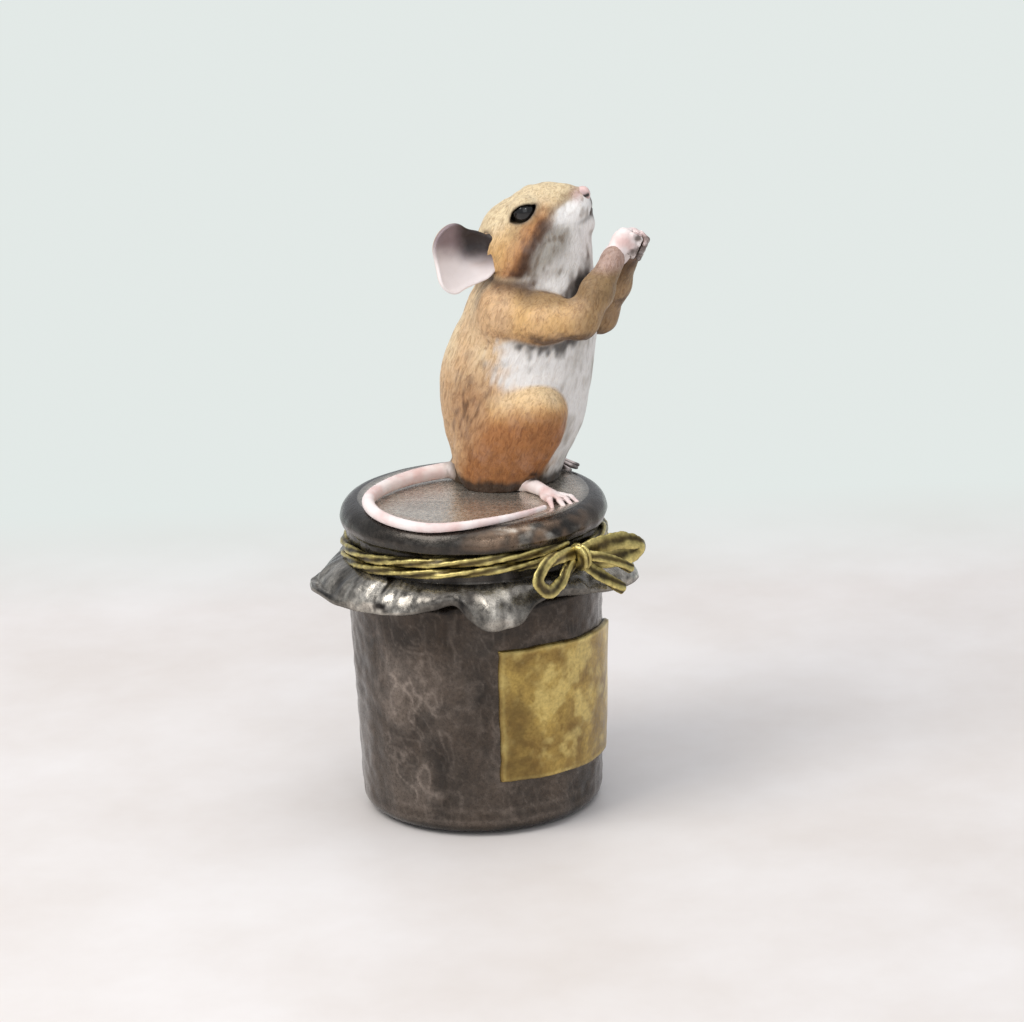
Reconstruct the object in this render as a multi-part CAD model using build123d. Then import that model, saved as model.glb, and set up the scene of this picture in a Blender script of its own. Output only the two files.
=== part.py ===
from build123d import *

import math
import os

# A cold-painted bronze mouse that sits on the cloth cover of a jam jar, in millimetres.
# +Z is up, the jar's axis is the Z axis, the felt rests on Z = 0 and the mouse faces -Y.
# Directions round the jar are azimuths: 0 is -Y, the way the mouse faces, and 90 is +X.

# Fits
JOINT_GAP = 0.05
SKIN_GAP = 0.03
BORE_GAP = 0.15

# Felt pad and base plate
FELT_THICK = 1.0
FELT_INSET = 0.4
PLATE_THICK = 1.6
PLATE_INSET = 2.7

# Jar
FOOT_CLEAR = 0.4
FOOT_R = 18.9
FOOT_ROUND = 2.2
FOOT_BULGE = 0.3
WALL_TAPER = 1.1
NECK_STEP = 1.7
JAR_TOP_Z = 47.7
SHOULDER_DROP = 10.7
NECK_DROP = 8.2
JAR_WALL = 2.4
SEAT_LEDGE = 1.4
SEAT_DEEP = 2.0

# Label on the jar
LABEL_AZIMUTH = -31.0
LABEL_SPAN = 82.0
LABEL_LOW_Z = 9.0
LABEL_TALL = 21.8
LABEL_THICK = 0.6

# Cloth cover: crown, groove for the string, skirt
COVER_THICK = 2.5
CROWN_OVERHANG = 1.3
CROWN_ROLL = 2.8
GROOVE_WALL = 1.3
GROOVE_DROP = 7.2
GROOVE_SPARE = 0.9
CLOTH = 1.2
SKIRT_LAP = 0.3
SKIRT_ROOT = 0.2
# How much of its reach the cloth has when it has dropped halfway
SKIRT_FLARE = 0.745
# Hem of the skirt, round the jar: azimuth, reach past the groove, drop below the skirt's top
HEM = (
    (-180, 3.4, 3.4),
    (-166, 5.2, 4.0),
    (-154, 5.3, 4.4),
    (-141, 4.3, 4.2),
    (-128, 3.8, 3.7),
    (-116, 3.7, 3.2),
    (-106, 3.9, 2.6),
    (-97, 3.1, 1.8),
    (-89, 2.1, 1.3),
    (-83, 3.2, 3.3),
    (-77, 4.3, 4.7),
    (-70, 4.3, 4.7),
    (-63, 3.8, 4.1),
    (-56, 2.5, 1.9),
    (-46, 2.6, 1.4),
    (-33, 3.8, 2.0),
    (-18, 5.3, 2.7),
    (-4, 6.0, 3.2),
    (9, 5.0, 3.6),
    (24, 3.4, 2.2),
    (40, 4.4, 4.2),
    (57, 2.9, 2.0),
    (74, 4.5, 4.3),
    (92, 3.0, 2.2),
    (110, 4.6, 4.4),
    (128, 2.9, 2.0),
    (146, 4.4, 4.2),
    (164, 3.1, 2.6),
    (180, 3.4, 3.4),
)
SKIRT_SPANS = 4
SECTIONS_PER_SPAN = 12

# String and bow
STRING_D = 1.2
STRING_TURNS = 2
STRING_GAP = 0.45
STRING_SAMPLES_PER_TURN = 200
BOW_AZIMUTH = -35.5
KNOT_R = 1.9
KNOT_OUT = 1.5
STRAND_D = 1.7
# Corners of the bow's strands: right, up and out from the knot's middle, and the bend radii
LOOP_RIGHT = ((0.8, 1.1, 0.2), (8.4, 2.4, 2.7), (11.4, -0.6, 3.7), (8.0, -2.6, 2.6), (0.8, -1.1, 0.2))
LOOP_RIGHT_BENDS = (1.9, 1.7, 1.9)
LOOP_LEFT = ((-0.8, 1.1, 0.3), (-6.6, 2.4, 1.0), (-11.0, -0.6, 1.4), (-7.0, -3.4, 1.4), (-0.8, -1.1, 0.3))
LOOP_LEFT_BENDS = (2.0, 1.8, 2.0)
END_LONG = ((0.0, -1.3, 1.0), (6.2, -6.1, 4.4))
END_SHORT = ((0.9, 0.6, 1.2), (6.4, -2.6, 6.0))

# Screw fixing inside the jar
STUD_D = 3.0
STUD_IN_TORSO = 9.0
STUD_BELOW_DECK = 5.0
WASHER_D = 8.0
WASHER_THICK = 0.8
NUT_ACROSS = 5.5
NUT_THICK = 2.4

# Mouse, placed by the stud under it: how far in from the crown's edge, and how far along Y
MOUSE_FROM_EDGE = 11.5
MOUSE_Y = -4.3

# Torso sections: height, forward shift, half depth, half width
TORSO = (
    (0.0, -0.4, 8.2, 7.0),
    (4.0, 0.2, 9.2, 8.0),
    (9.0, 0.9, 11.0, 9.4),
    (15.5, 1.4, 11.9, 9.7),
    (21.5, 2.6, 11.6, 9.1),
    (28.0, 4.6, 10.2, 8.0),
    (33.0, 5.6, 8.7, 6.6),
    (37.0, 6.8, 7.3, 5.4),
    (40.0, 8.4, 5.4, 4.2),
    (42.0, 9.8, 3.4, 2.8),
)

# Head sections along its axis: distance, rise, half height, half width
HEAD_AT = (0.0, 4.0, 38.2)
HEAD_TILT = 32.0
HEAD = (
    (-7.2, 0.0, 2.4, 2.4),
    (-5.5, 0.0, 5.2, 5.3),
    (-2.5, -0.2, 7.1, 6.8),
    (1.5, -0.3, 7.3, 6.8),
    (5.5, 0.3, 6.3, 5.5),
    (9.0, 0.6, 4.2, 3.6),
    (10.9, 0.5, 2.5, 2.2),
    (11.7, 0.4, 1.4, 1.3),
)
DOWEL_D = 4.0
DOWEL_LONG = 10.0
DOWEL_FORWARD = 4.6
DOWEL_MID_H = 33.0

NOSE_ALONG = 11.6
NOSE_RISE = 0.9
NOSE_HALF = (1.0, 1.1, 0.9)

EYE_R = 2.0
EYE_ALONG = 3.1
EYE_RISE = 4.3
EYE_OUT = 4.0

# Ears: a shallow round cup on a pin
EAR_AT = (8.4, -5.4, 37.3)
FAR_EAR_AT = (8.4, -1.0, 36.4)
EAR_R = 5.4
EAR_HALF_WIDE = 4.7
EAR_THICK = 0.8
EAR_CUP_R = 7.5
EAR_FORWARD = 33.0
FAR_EAR_FORWARD = 68.0
EAR_PIN_D = 2.0
EAR_PIN_LONG = 6.5
EAR_PIN_BEFORE = 2.2

# Forelegs: side, forward, height of each bend, and the radius there
SHOULDER = (7.4, 1.7, 28.0)
ELBOW = (8.2, 13.4, 27.4)
WRIST = (3.3, 17.9, 36.0)
FAR_ELBOW = (8.2, 13.8, 24.0)
FAR_WRIST = (3.3, 19.6, 35.4)
SHOULDER_BALL = 3.7
ELBOW_BALL = 2.5
WRIST_BALL = 1.9
PAW_AT = (1.5, 19.5, 39.0)
FAR_PAW_AT = (1.5, 20.3, 38.4)
PAW_LEAN = 25.0
# Paw sections along its lean: distance, half thickness, half width
PAW = ((-2.4, 0.9, 1.0), (-1.2, 1.35, 1.7), (0.4, 1.45, 2.1), (1.8, 1.25, 1.8), (2.6, 0.7, 0.9))

# Hind legs
HAUNCH_AT = (7.2, 2.9, 9.6)
HAUNCH_HALF = (4.2, 7.4, 8.4)
FOOT_LONG = 11.0
FOOT_WIDE = 4.0
FOOT_TALL = 2.2
PALM_SHORT = 1.0
PALM_H = 0.2
TOES = 4
TOE_LONG = 3.4
TOE_PAST = 0.2
TOE_R = 0.62
TOE_TIP_R = 0.53
TOE_ROOT_H = 0.9
TOE_TIP_H = 0.75
TOE_ROOT_SPREAD = 0.9
TOE_TIP_SPREAD = 1.3
NEAR_HEEL = (7.4, 4.0)
NEAR_SPLAY = 46.0
NEAR_DIP = 3.0
FAR_HEEL = (6.4, -1.6)
FAR_SPLAY = -8.0

# Tail: azimuth of each bend and its share of the flat top's radius, from the root to the tip
TAIL_ROOT_R = 1.35
TAIL_TIP_R = 0.45
TAIL_RUNS = 16
TAIL_BENDS = (
    (126, 0.53),
    (158, 0.61),
    (186, 0.76),
    (207, 0.93),
    (226, 1.04),
    (243, 1.09),
    (260, 1.10),
    (277, 1.05),
    (294, 0.95),
    (310, 0.88),
    (325, 0.845),
)

# Sizes that follow from the ones above
plate_r = FOOT_R - PLATE_INSET
shoulder_r = FOOT_R + WALL_TAPER
shoulder_z = JAR_TOP_Z - SHOULDER_DROP
neck_r = shoulder_r - NECK_STEP
neck_z = JAR_TOP_Z - NECK_DROP
deck_low = JAR_TOP_Z - JAR_WALL
label_high_z = LABEL_LOW_Z + LABEL_TALL
cover_top = JAR_TOP_Z + COVER_THICK
cover_bore = neck_r + JOINT_GAP
groove_r = neck_r + GROOVE_WALL
crown_r = groove_r + CROWN_OVERHANG
mouse_x = crown_r - MOUSE_FROM_EDGE
flat_r = crown_r - CROWN_ROLL
roll_z = cover_top - CROWN_ROLL
groove_z = cover_top - GROOVE_DROP
string_pitch = STRING_D + STRING_GAP
groove_tall = STRING_TURNS * string_pitch + STRING_D + GROOVE_SPARE
groove_top = groove_z + groove_tall / 2
groove_low = groove_z - groove_tall / 2
skirt_top = groove_low + SKIRT_LAP
align_low = (Align.CENTER, Align.CENTER, Align.MIN)


def around(azimuth, radius, z):
    """A point at this azimuth and radius round the jar."""
    angle = math.radians(azimuth)
    return Vector(radius * math.sin(angle), -radius * math.cos(angle), z)


def mouse(side, forward, height):
    """A point on the mouse: to its left, ahead of the stud and above the cover."""
    return Vector(mouse_x + side, MOUSE_Y - forward, cover_top + height)


def head(along, rise, side=0.0):
    """A point on the head: along its axis, square to it in the middle plane, and to its left."""
    tilt = math.radians(HEAD_TILT)
    forward = HEAD_AT[1] + along * math.cos(tilt) - rise * math.sin(tilt)
    height = HEAD_AT[2] + along * math.sin(tilt) + rise * math.cos(tilt)
    return mouse(HEAD_AT[0] + side, forward, height)


def jar_wall_r(z):
    """Outer radius of the jar's tapered wall."""
    low = FOOT_CLEAR + FOOT_ROUND
    return FOOT_R + (shoulder_r - FOOT_R) * (z - low) / (shoulder_z - low)


def rod(start, end, radius):
    """A round rod between two points."""
    axis = end - start
    return Plane(origin=start, z_dir=axis) * Cylinder(radius, axis.length, align=align_low)


def limb(start, end, start_r, end_r):
    """A tapered limb with ball ends."""
    axis = end - start
    cone = Plane(origin=start, z_dir=axis) * Cone(start_r, end_r, axis.length, align=align_low)
    return cone + Pos(*start) * Sphere(start_r) + Pos(*end) * Sphere(end_r)


def pebble(half, place):
    """A ball stretched to these half sizes, set at a location, with its poles on its X axis."""
    return place * scale(Rot(0, 90, 0) * Sphere(1.0), by=half)


def turned(points):
    """A solid turned about the jar's axis from straight lines in (radius, height)."""
    outline = Polyline(*[Vector(r, 0, z) for r, z in points], close=True)
    return revolve(make_face(outline), Axis.Z)


def ellipse_loft(planes, halves):
    """A skin through ellipses, one on each plane."""
    return loft([plane * Ellipse(x, y) for plane, (x, y) in zip(planes, halves)])


# Felt pad and base plate
plate_z = FELT_THICK
plate_top = plate_z + PLATE_THICK
felt_pad = Cylinder(plate_r - FELT_INSET, FELT_THICK, align=align_low)
base_plate = Pos(0, 0, plate_z) * Cylinder(plate_r, PLATE_THICK, align=align_low)

# Jar: one hollow casting, open underneath
stud_at = Pos(mouse_x, MOUSE_Y, 0)
cavity_r = plate_r - SEAT_LEDGE
jar_shell = turned(
    (
        (plate_r + JOINT_GAP, FOOT_CLEAR),
        (FOOT_R - FOOT_ROUND, FOOT_CLEAR),
        (FOOT_R - FOOT_BULGE * FOOT_ROUND, FOOT_CLEAR + FOOT_BULGE * FOOT_ROUND),
        (FOOT_R, FOOT_CLEAR + FOOT_ROUND),
        (shoulder_r, shoulder_z),
        (neck_r, neck_z),
        (neck_r, JAR_TOP_Z),
        (0, JAR_TOP_Z),
        (0, JAR_TOP_Z - JAR_WALL),
        (neck_r - JAR_WALL, JAR_TOP_Z - JAR_WALL),
        (neck_r - JAR_WALL, neck_z),
        (shoulder_r - JAR_WALL, shoulder_z - JAR_WALL),
        (FOOT_R - JAR_WALL, plate_top + SEAT_DEEP + SEAT_LEDGE),
        (cavity_r, plate_top + SEAT_DEEP),
        (cavity_r, plate_top),
        (plate_r + JOINT_GAP, plate_top),
    )
)
stud_hole = stud_at * Cylinder(STUD_D / 2 + BORE_GAP, cover_top, align=align_low)
jar_shell -= Pos(0, 0, plate_top) * stud_hole

# Label: a curved plate soldered to the jar's wall
label_plate = make_face(
    Polyline(
        Vector(jar_wall_r(LABEL_LOW_Z) + SKIN_GAP, 0, LABEL_LOW_Z),
        Vector(jar_wall_r(LABEL_LOW_Z) + LABEL_THICK, 0, LABEL_LOW_Z),
        Vector(jar_wall_r(label_high_z) + LABEL_THICK, 0, label_high_z),
        Vector(jar_wall_r(label_high_z) + SKIN_GAP, 0, label_high_z),
        close=True,
    )
)
label_start = LABEL_AZIMUTH - 90.0 - LABEL_SPAN / 2
label_plate = Rot(0, 0, label_start) * revolve(label_plate, Axis.Z, revolution_arc=LABEL_SPAN)

# Cloth cover: crown and groove are turned, the skirt is lofted in folds
lean = math.sqrt(0.5)
crown_lines = (
    Line((0, cover_top), (flat_r, cover_top)),
    ThreePointArc(
        (flat_r, cover_top),
        (flat_r + CROWN_ROLL * lean, roll_z + CROWN_ROLL * lean),
        (crown_r, roll_z),
    ),
    Line((crown_r, roll_z), (groove_r, groove_top)),
    Line((groove_r, groove_top), (groove_r, groove_low)),
    Line((groove_r, groove_low), (cover_bore, groove_low)),
    Line((cover_bore, groove_low), (cover_bore, JAR_TOP_Z)),
    Line((cover_bore, JAR_TOP_Z), (0, JAR_TOP_Z)),
    Line((0, JAR_TOP_Z), (0, cover_top)),
)
crown = revolve(make_face(Plane.XZ * (Curve() + list(crown_lines))), Axis.Z)


def skirt_section(azimuth, reach, drop):
    """The cloth cut by an upright plane through the jar's axis: it flares out from the groove to the hem."""
    root = Vector(groove_r - SKIRT_ROOT, skirt_top)
    bend = Vector(groove_r + SKIRT_FLARE * reach, skirt_top - drop / 2)
    hem = Vector(groove_r + reach, skirt_top - drop)
    under = Vector(-CLOTH, -CLOTH) * lean
    inner = Vector(root.X - CLOTH * lean, skirt_top)
    outline = (
        ThreePointArc(root, bend, hem),
        Line(hem, hem + under),
        ThreePointArc(hem + under, bend + under, inner),
        Line(inner, root),
    )
    outward = around(azimuth, 1.0, 0.0)
    sideways = around(azimuth - 90.0, 1.0, 0.0)
    upright = Plane(origin=(0, 0, 0), x_dir=outward, z_dir=sideways)
    return make_face(upright * (Curve() + list(outline)))


hem_line = Spline(*[Vector(*row) for row in HEM])
cloth_cover = crown
for span in range(SKIRT_SPANS):
    shares = [(span + n / SECTIONS_PER_SPAN) / SKIRT_SPANS for n in range(SECTIONS_PER_SPAN + 1)]
    hem_rows = [hem_line @ share for share in shares]
    cloth_cover += loft([skirt_section(row.X, row.Y, row.Z) for row in hem_rows])
cloth_cover -= Pos(0, 0, deck_low) * stud_hole

# String: one unbroken winding in the groove
string_r = groove_r + STRING_D / 2 + SKIN_GAP


def on_string(turn):
    """A point on the winding's middle line after this many turns."""
    return around(BOW_AZIMUTH + 360.0 * turn, string_r, groove_z + string_pitch * (turn - STRING_TURNS / 2))


half_turns = []
for half in range(STRING_TURNS * 2):
    half_turns.append(ThreePointArc(*[on_string((half + part) / 2) for part in (0.0, 0.5, 1.0)]))
string_path = Wire(half_turns)
string_start = Plane(origin=string_path @ 0, z_dir=string_path % 0)
string_wrap = sweep(string_start * Circle(STRING_D / 2), path=string_path)
string_samples = STRING_TURNS * STRING_SAMPLES_PER_TURN
string_points = [string_path @ (n / string_samples) for n in range(string_samples + 1)]
string_nearest = min(
    (here - there).length
    for n, here in enumerate(string_points)
    for there in string_points[n + STRING_SAMPLES_PER_TURN // 2:]
)
print("string gap to itself", round(string_nearest - STRING_D, 3))

# Bow: knot, two loops and two cut ends, each a soldered piece
bow_plane = Plane(
    origin=around(BOW_AZIMUTH, string_r + KNOT_OUT, groove_z),
    x_dir=around(BOW_AZIMUTH + 90.0, 1.0, 0.0),
    z_dir=around(BOW_AZIMUTH, 1.0, 0.0),
)


def on_bow(right, up, out):
    """A point on the bow, measured from the knot's middle."""
    return bow_plane.from_local_coords(Vector(right, up, out))


def strand(points, radii):
    """A round strand along straight runs with rounded corners."""
    path = FilletPolyline(*points, radius=radii) if radii else Line(*points)
    profile = Plane(origin=path @ 0, z_dir=path % 0) * Circle(STRAND_D / 2)
    return sweep(profile, path=path)


knot_ball = bow_plane * Sphere(KNOT_R)
bow_loop_right = strand([on_bow(*place) for place in LOOP_RIGHT], LOOP_RIGHT_BENDS)
bow_loop_left = strand([on_bow(*place) for place in LOOP_LEFT], LOOP_LEFT_BENDS)
bow_end_long = strand([on_bow(*place) for place in END_LONG], None)
bow_end_short = strand([on_bow(*place) for place in END_SHORT], None)
string_skin = Pos(0, 0, groove_z) * Cylinder(string_r + STRING_D / 2 + SKIN_GAP, groove_tall)
bow_knot = knot_ball - string_skin
bow_loop_left -= knot_ball
bow_loop_right -= knot_ball
bow_end_long = bow_end_long - knot_ball - bow_loop_right
bow_end_short = bow_end_short - knot_ball - bow_loop_right - bow_end_long

# Screw fixing
stud_low = deck_low - STUD_BELOW_DECK
stud_long = cover_top + STUD_IN_TORSO - stud_low
fixing_stud = stud_at * Pos(0, 0, stud_low) * Cylinder(STUD_D / 2, stud_long, align=align_low)
fixing_washer = stud_at * Pos(0, 0, deck_low - WASHER_THICK) * (
    Cylinder(WASHER_D / 2, WASHER_THICK, align=align_low)
    - Cylinder(STUD_D / 2 + BORE_GAP, WASHER_THICK, align=align_low)
)
nut_low = deck_low - WASHER_THICK - NUT_THICK
nut_face = RegularPolygon(NUT_ACROSS / 2, 6, major_radius=False)
fixing_nut = stud_at * Pos(0, 0, nut_low) * (
    extrude(nut_face, NUT_THICK) - Cylinder(STUD_D / 2 + JOINT_GAP, NUT_THICK, align=align_low)
)

# Head
tilt = math.radians(HEAD_TILT)
head_axis = Vector(0, -math.cos(tilt), math.sin(tilt))
head_planes = [Plane(origin=head(t, rise), x_dir=(1, 0, 0), z_dir=head_axis) for t, rise, _, _ in HEAD]
mouse_head = ellipse_loft(head_planes, [(wide, tall) for _, _, tall, wide in HEAD])

# Torso
torso_planes = [Plane(origin=mouse(0, shift, h)) for h, shift, _, _ in TORSO]
mouse_torso = ellipse_loft(torso_planes, [(wide, deep) for _, _, deep, wide in TORSO])
mouse_torso -= mouse_head
mouse_torso -= stud_at * Pos(0, 0, cover_top) * Cylinder(
    STUD_D / 2 + JOINT_GAP, STUD_IN_TORSO + JOINT_GAP, align=align_low
)

# Dowel between head and torso
dowel_at = Pos(*mouse(0, DOWEL_FORWARD, DOWEL_MID_H))
neck_dowel = dowel_at * Cylinder(DOWEL_D / 2, DOWEL_LONG)
dowel_hole = dowel_at * Cylinder(DOWEL_D / 2 + JOINT_GAP, DOWEL_LONG + 2 * JOINT_GAP)
mouse_torso -= dowel_hole
mouse_head -= dowel_hole

# Nose
nose_plane = Plane(origin=head(NOSE_ALONG, NOSE_RISE), x_dir=(1, 0, 0), z_dir=head_axis)
nose_tip = pebble((NOSE_HALF[1], NOSE_HALF[2], NOSE_HALF[0]), nose_plane.location)
nose_tip -= mouse_head

# Pieces that come in a left and a right: side is +1 for the left
pairs = {}
for word, side in (("left", 1), ("right", -1)):
    eye = Pos(*head(EYE_ALONG, EYE_RISE, side * EYE_OUT)) * Sphere(EYE_R)
    socket = Pos(*head(EYE_ALONG, EYE_RISE, side * EYE_OUT)) * Sphere(EYE_R + JOINT_GAP)
    mouse_head -= socket
    pairs["eye_" + word] = eye

    # Ear: a slice of a hollow ball, on a pin that goes into the head
    ear_at = FAR_EAR_AT if side > 0 else EAR_AT
    ear_mid = mouse(side * ear_at[0], ear_at[1], ear_at[2])
    turn = math.radians(FAR_EAR_FORWARD if side > 0 else EAR_FORWARD)
    ear_out = Vector(side * math.cos(turn), -math.sin(turn), 0)
    ear_back = Vector(side * math.sin(turn), math.cos(turn), 0)
    rim_in = math.sqrt(EAR_CUP_R ** 2 - EAR_R ** 2)
    ball_mid = ear_mid + ear_out * rim_in
    ear = Pos(*ball_mid) * (Sphere(EAR_CUP_R + EAR_THICK) - Sphere(EAR_CUP_R))
    ear_plane = Plane(origin=ear_mid - ear_out * EAR_R, x_dir=ear_back, z_dir=ear_out)
    ear = ear & extrude(ear_plane * Ellipse(EAR_HALF_WIDE, EAR_R), EAR_R + EAR_THICK)
    pin_from = ear_mid - ear_out * (EAR_CUP_R - rim_in) - ear_back * EAR_PIN_BEFORE
    pin_to = pin_from - ear_back * EAR_PIN_LONG
    hollow = Pos(*ball_mid) * Sphere(EAR_CUP_R)
    ear -= mouse_head
    ear -= mouse_torso
    ear += rod(pin_from, pin_to, EAR_PIN_D / 2) - hollow
    mouse_head -= rod(pin_from, pin_to - ear_back * JOINT_GAP, EAR_PIN_D / 2 + JOINT_GAP)
    pairs["ear_" + word] = ear

    # Foreleg and paw
    elbow_at = FAR_ELBOW if side > 0 else ELBOW
    wrist_at = FAR_WRIST if side > 0 else WRIST
    paw_at = FAR_PAW_AT if side > 0 else PAW_AT
    shoulder = mouse(side * SHOULDER[0], SHOULDER[1], SHOULDER[2])
    elbow = mouse(side * elbow_at[0], elbow_at[1], elbow_at[2])
    wrist = mouse(side * wrist_at[0], wrist_at[1], wrist_at[2])
    arm = limb(shoulder, elbow, SHOULDER_BALL, ELBOW_BALL) + limb(elbow, wrist, ELBOW_BALL, WRIST_BALL)
    paw_place = Pos(*mouse(side * paw_at[0], paw_at[1], paw_at[2])) * Rot(PAW_LEAN, 0, 0)
    paw_planes = [Plane.XY.offset(t) for t, _, _ in PAW]
    paw = paw_place * ellipse_loft(paw_planes, [(thin, wide) for _, thin, wide in PAW])
    arm -= mouse_torso
    arm -= mouse_head
    paw -= arm
    pairs["arm_" + word] = arm
    pairs["paw_" + word] = paw

    # Haunch
    haunch = pebble(HAUNCH_HALF, Pos(*mouse(side * HAUNCH_AT[0], HAUNCH_AT[1], HAUNCH_AT[2])))
    haunch -= mouse_torso
    haunch -= arm
    pairs["haunch_" + word] = haunch

    # Hind foot with its toes
    heel = FAR_HEEL if side > 0 else NEAR_HEEL
    splay = FAR_SPLAY if side > 0 else NEAR_SPLAY
    dip = 0.0 if side > 0 else NEAR_DIP
    sole = mouse(side * heel[0], heel[1], 0.0)
    foot_place = Pos(*sole) * Rot(0, 0, side * splay) * Rot(dip, 0, 0)
    palm_half = FOOT_LONG / 2 - PALM_SHORT
    foot = pebble((FOOT_WIDE / 2, palm_half, FOOT_TALL), Pos(0, -palm_half, PALM_H))
    for toe in range(TOES):
        spread = (toe - (TOES - 1) / 2) * FOOT_WIDE / TOES
        toe_from = Vector(spread * TOE_ROOT_SPREAD, -FOOT_LONG + TOE_LONG, TOE_ROOT_H)
        toe_to = Vector(spread * TOE_TIP_SPREAD, -FOOT_LONG - TOE_PAST, TOE_TIP_H)
        foot += limb(toe_from, toe_to, TOE_R, TOE_TIP_R)
    foot = foot_place * foot
    foot -= cloth_cover
    foot -= mouse_torso
    foot -= haunch
    pairs["hind_foot_" + word] = foot


# Tail: it lies on the cover and follows the roll of its edge
def on_cover(azimuth, radius, clear):
    """A point this far above the cover, square to its surface."""
    if radius <= flat_r:
        return around(azimuth, radius, cover_top + clear)
    reach = CROWN_ROLL + clear
    slope = math.asin(min(1.0, (radius - flat_r) / reach))
    return around(azimuth, flat_r + reach * math.sin(slope), roll_z + reach * math.cos(slope))


tail_line = Spline(*[around(azimuth, share * flat_r, 0.0) for azimuth, share in TAIL_BENDS])
tail_points = []
tail_sizes = []
for n in range(TAIL_RUNS + 1):
    share = n / TAIL_RUNS
    spot = tail_line @ share
    size = TAIL_ROOT_R + (TAIL_TIP_R - TAIL_ROOT_R) * share
    tail_sizes.append(size)
    azimuth = math.degrees(math.atan2(spot.X, -spot.Y))
    tail_points.append(on_cover(azimuth, math.hypot(spot.X, spot.Y), size + SKIN_GAP))
tail_rings = []
for n, (spot, size) in enumerate(zip(tail_points, tail_sizes)):
    ahead = tail_points[min(n + 1, TAIL_RUNS)] - tail_points[max(n - 1, 0)]
    tail_rings.append(Plane(origin=spot, x_dir=ahead.cross(Vector(0, 0, 1)), z_dir=ahead) * Circle(size))
tail = loft(tail_rings)
tail -= mouse_torso
tail -= cloth_cover
for word in ("left", "right"):
    tail -= pairs["haunch_" + word]

# Everything that leaves the part
pieces = {
    "felt_pad": felt_pad,
    "base_plate": base_plate,
    "jar_shell": jar_shell,
    "label_plate": label_plate,
    "cloth_cover": cloth_cover,
    "string_wrap": string_wrap,
    "bow_knot": bow_knot,
    "bow_loop_left": bow_loop_left,
    "bow_loop_right": bow_loop_right,
    "bow_end_long": bow_end_long,
    "bow_end_short": bow_end_short,
    "fixing_stud": fixing_stud,
    "fixing_washer": fixing_washer,
    "fixing_nut": fixing_nut,
    "mouse_torso": mouse_torso,
    "neck_dowel": neck_dowel,
    "mouse_head": mouse_head,
    "nose_tip": nose_tip,
    "tail": tail,
    **pairs,
}
os.makedirs("parts", exist_ok=True)
for name, piece in pieces.items():
    solids = piece.solids()
    if len(solids) != 1:
        print(name, "has", len(solids), "solids", [round(s.volume, 3) for s in solids])
    export_step(max(solids, key=lambda solid: solid.volume), "parts/" + name + ".step")
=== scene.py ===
import math
from functools import partial

import bpy
import numpy as np
from mathutils import Matrix, Vector


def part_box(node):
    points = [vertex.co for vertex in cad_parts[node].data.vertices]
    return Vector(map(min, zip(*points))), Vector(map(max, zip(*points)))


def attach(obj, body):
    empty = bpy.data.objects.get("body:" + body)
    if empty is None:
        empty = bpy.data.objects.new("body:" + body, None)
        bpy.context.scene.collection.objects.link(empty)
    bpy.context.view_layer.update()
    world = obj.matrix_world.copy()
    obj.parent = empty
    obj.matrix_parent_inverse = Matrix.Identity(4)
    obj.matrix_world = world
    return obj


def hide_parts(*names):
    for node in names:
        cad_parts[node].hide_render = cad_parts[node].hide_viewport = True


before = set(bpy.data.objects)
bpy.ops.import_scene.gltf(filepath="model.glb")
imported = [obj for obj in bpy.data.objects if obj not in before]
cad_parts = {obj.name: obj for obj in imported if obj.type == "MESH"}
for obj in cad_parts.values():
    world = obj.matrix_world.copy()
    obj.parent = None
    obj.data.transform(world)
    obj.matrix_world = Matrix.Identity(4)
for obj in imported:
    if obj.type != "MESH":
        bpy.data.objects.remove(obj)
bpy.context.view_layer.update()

# Looks for the painted bronze mouse on a jam jar. Sizes are millimetres in the CAD's frame:
# +Z is up on the jar's axis and the mouse faces -Y. Meshes are scaled to metres when they are made.
MM = 0.001

# Jar, cover, label and string
FOOT_CLEAR = 0.4
FOOT_R = 18.9
FOOT_ROUND = 2.2
SHOULDER_R = 20.0
SHOULDER_Z = 37.0
JAR_TOP_Z = 47.7
NECK_R = 18.3
COVER_TOP = 50.2
CROWN_R = 20.9
CROWN_ROLL = 2.8
GROOVE_R = 19.6
GROOVE_Z = 43.0
LABEL_AZIMUTH = -31.0
LABEL_SPAN = 82.0
LABEL_LOW_Z = 9.0
LABEL_HIGH_Z = 30.8
LABEL_SAG = 1.5
LABEL_LIFT = 0.12
LABEL_THICK = 0.5
LABEL_SUNK = 0.25
BOW_AZIMUTH = -35.5
STRING_D = 1.2
STRING_PITCH = 1.65
STRING_TILT = 1.2
STRING_LOOK_R = 0.8

# Jar outline: radius and height, from the top's middle to the shoulder, and from the foot up the inside
AXIS_R = 0.05
JAR_NECK = (
    (AXIS_R, JAR_TOP_Z),
    (NECK_R, JAR_TOP_Z),
    (NECK_R, 40.4),
    (NECK_R + 0.5, 39.4),
    (SHOULDER_R - 0.5, 37.6),
)
JAR_INSIDE = (
    (16.3, FOOT_CLEAR),
    (16.3, 2.6),
    (14.8, 2.6),
    (14.8, 4.6),
    (16.5, 6.0),
    (17.6, 34.6),
    (15.9, 39.5),
    (15.9, 45.3),
    (AXIS_R, 45.3),
)

# A painted reflection down the jar, where its lumps are rubbed brighter too: azimuth and half width
JAR_SHEEN = (-115, 14)

# Mouse, placed by the stud under it
MOUSE_X = 9.4
MOUSE_Y = -4.3
HEAD_FORWARD = 4.0
HEAD_HEIGHT = 38.2
HEAD_TILT = math.radians(32.0)

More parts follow.
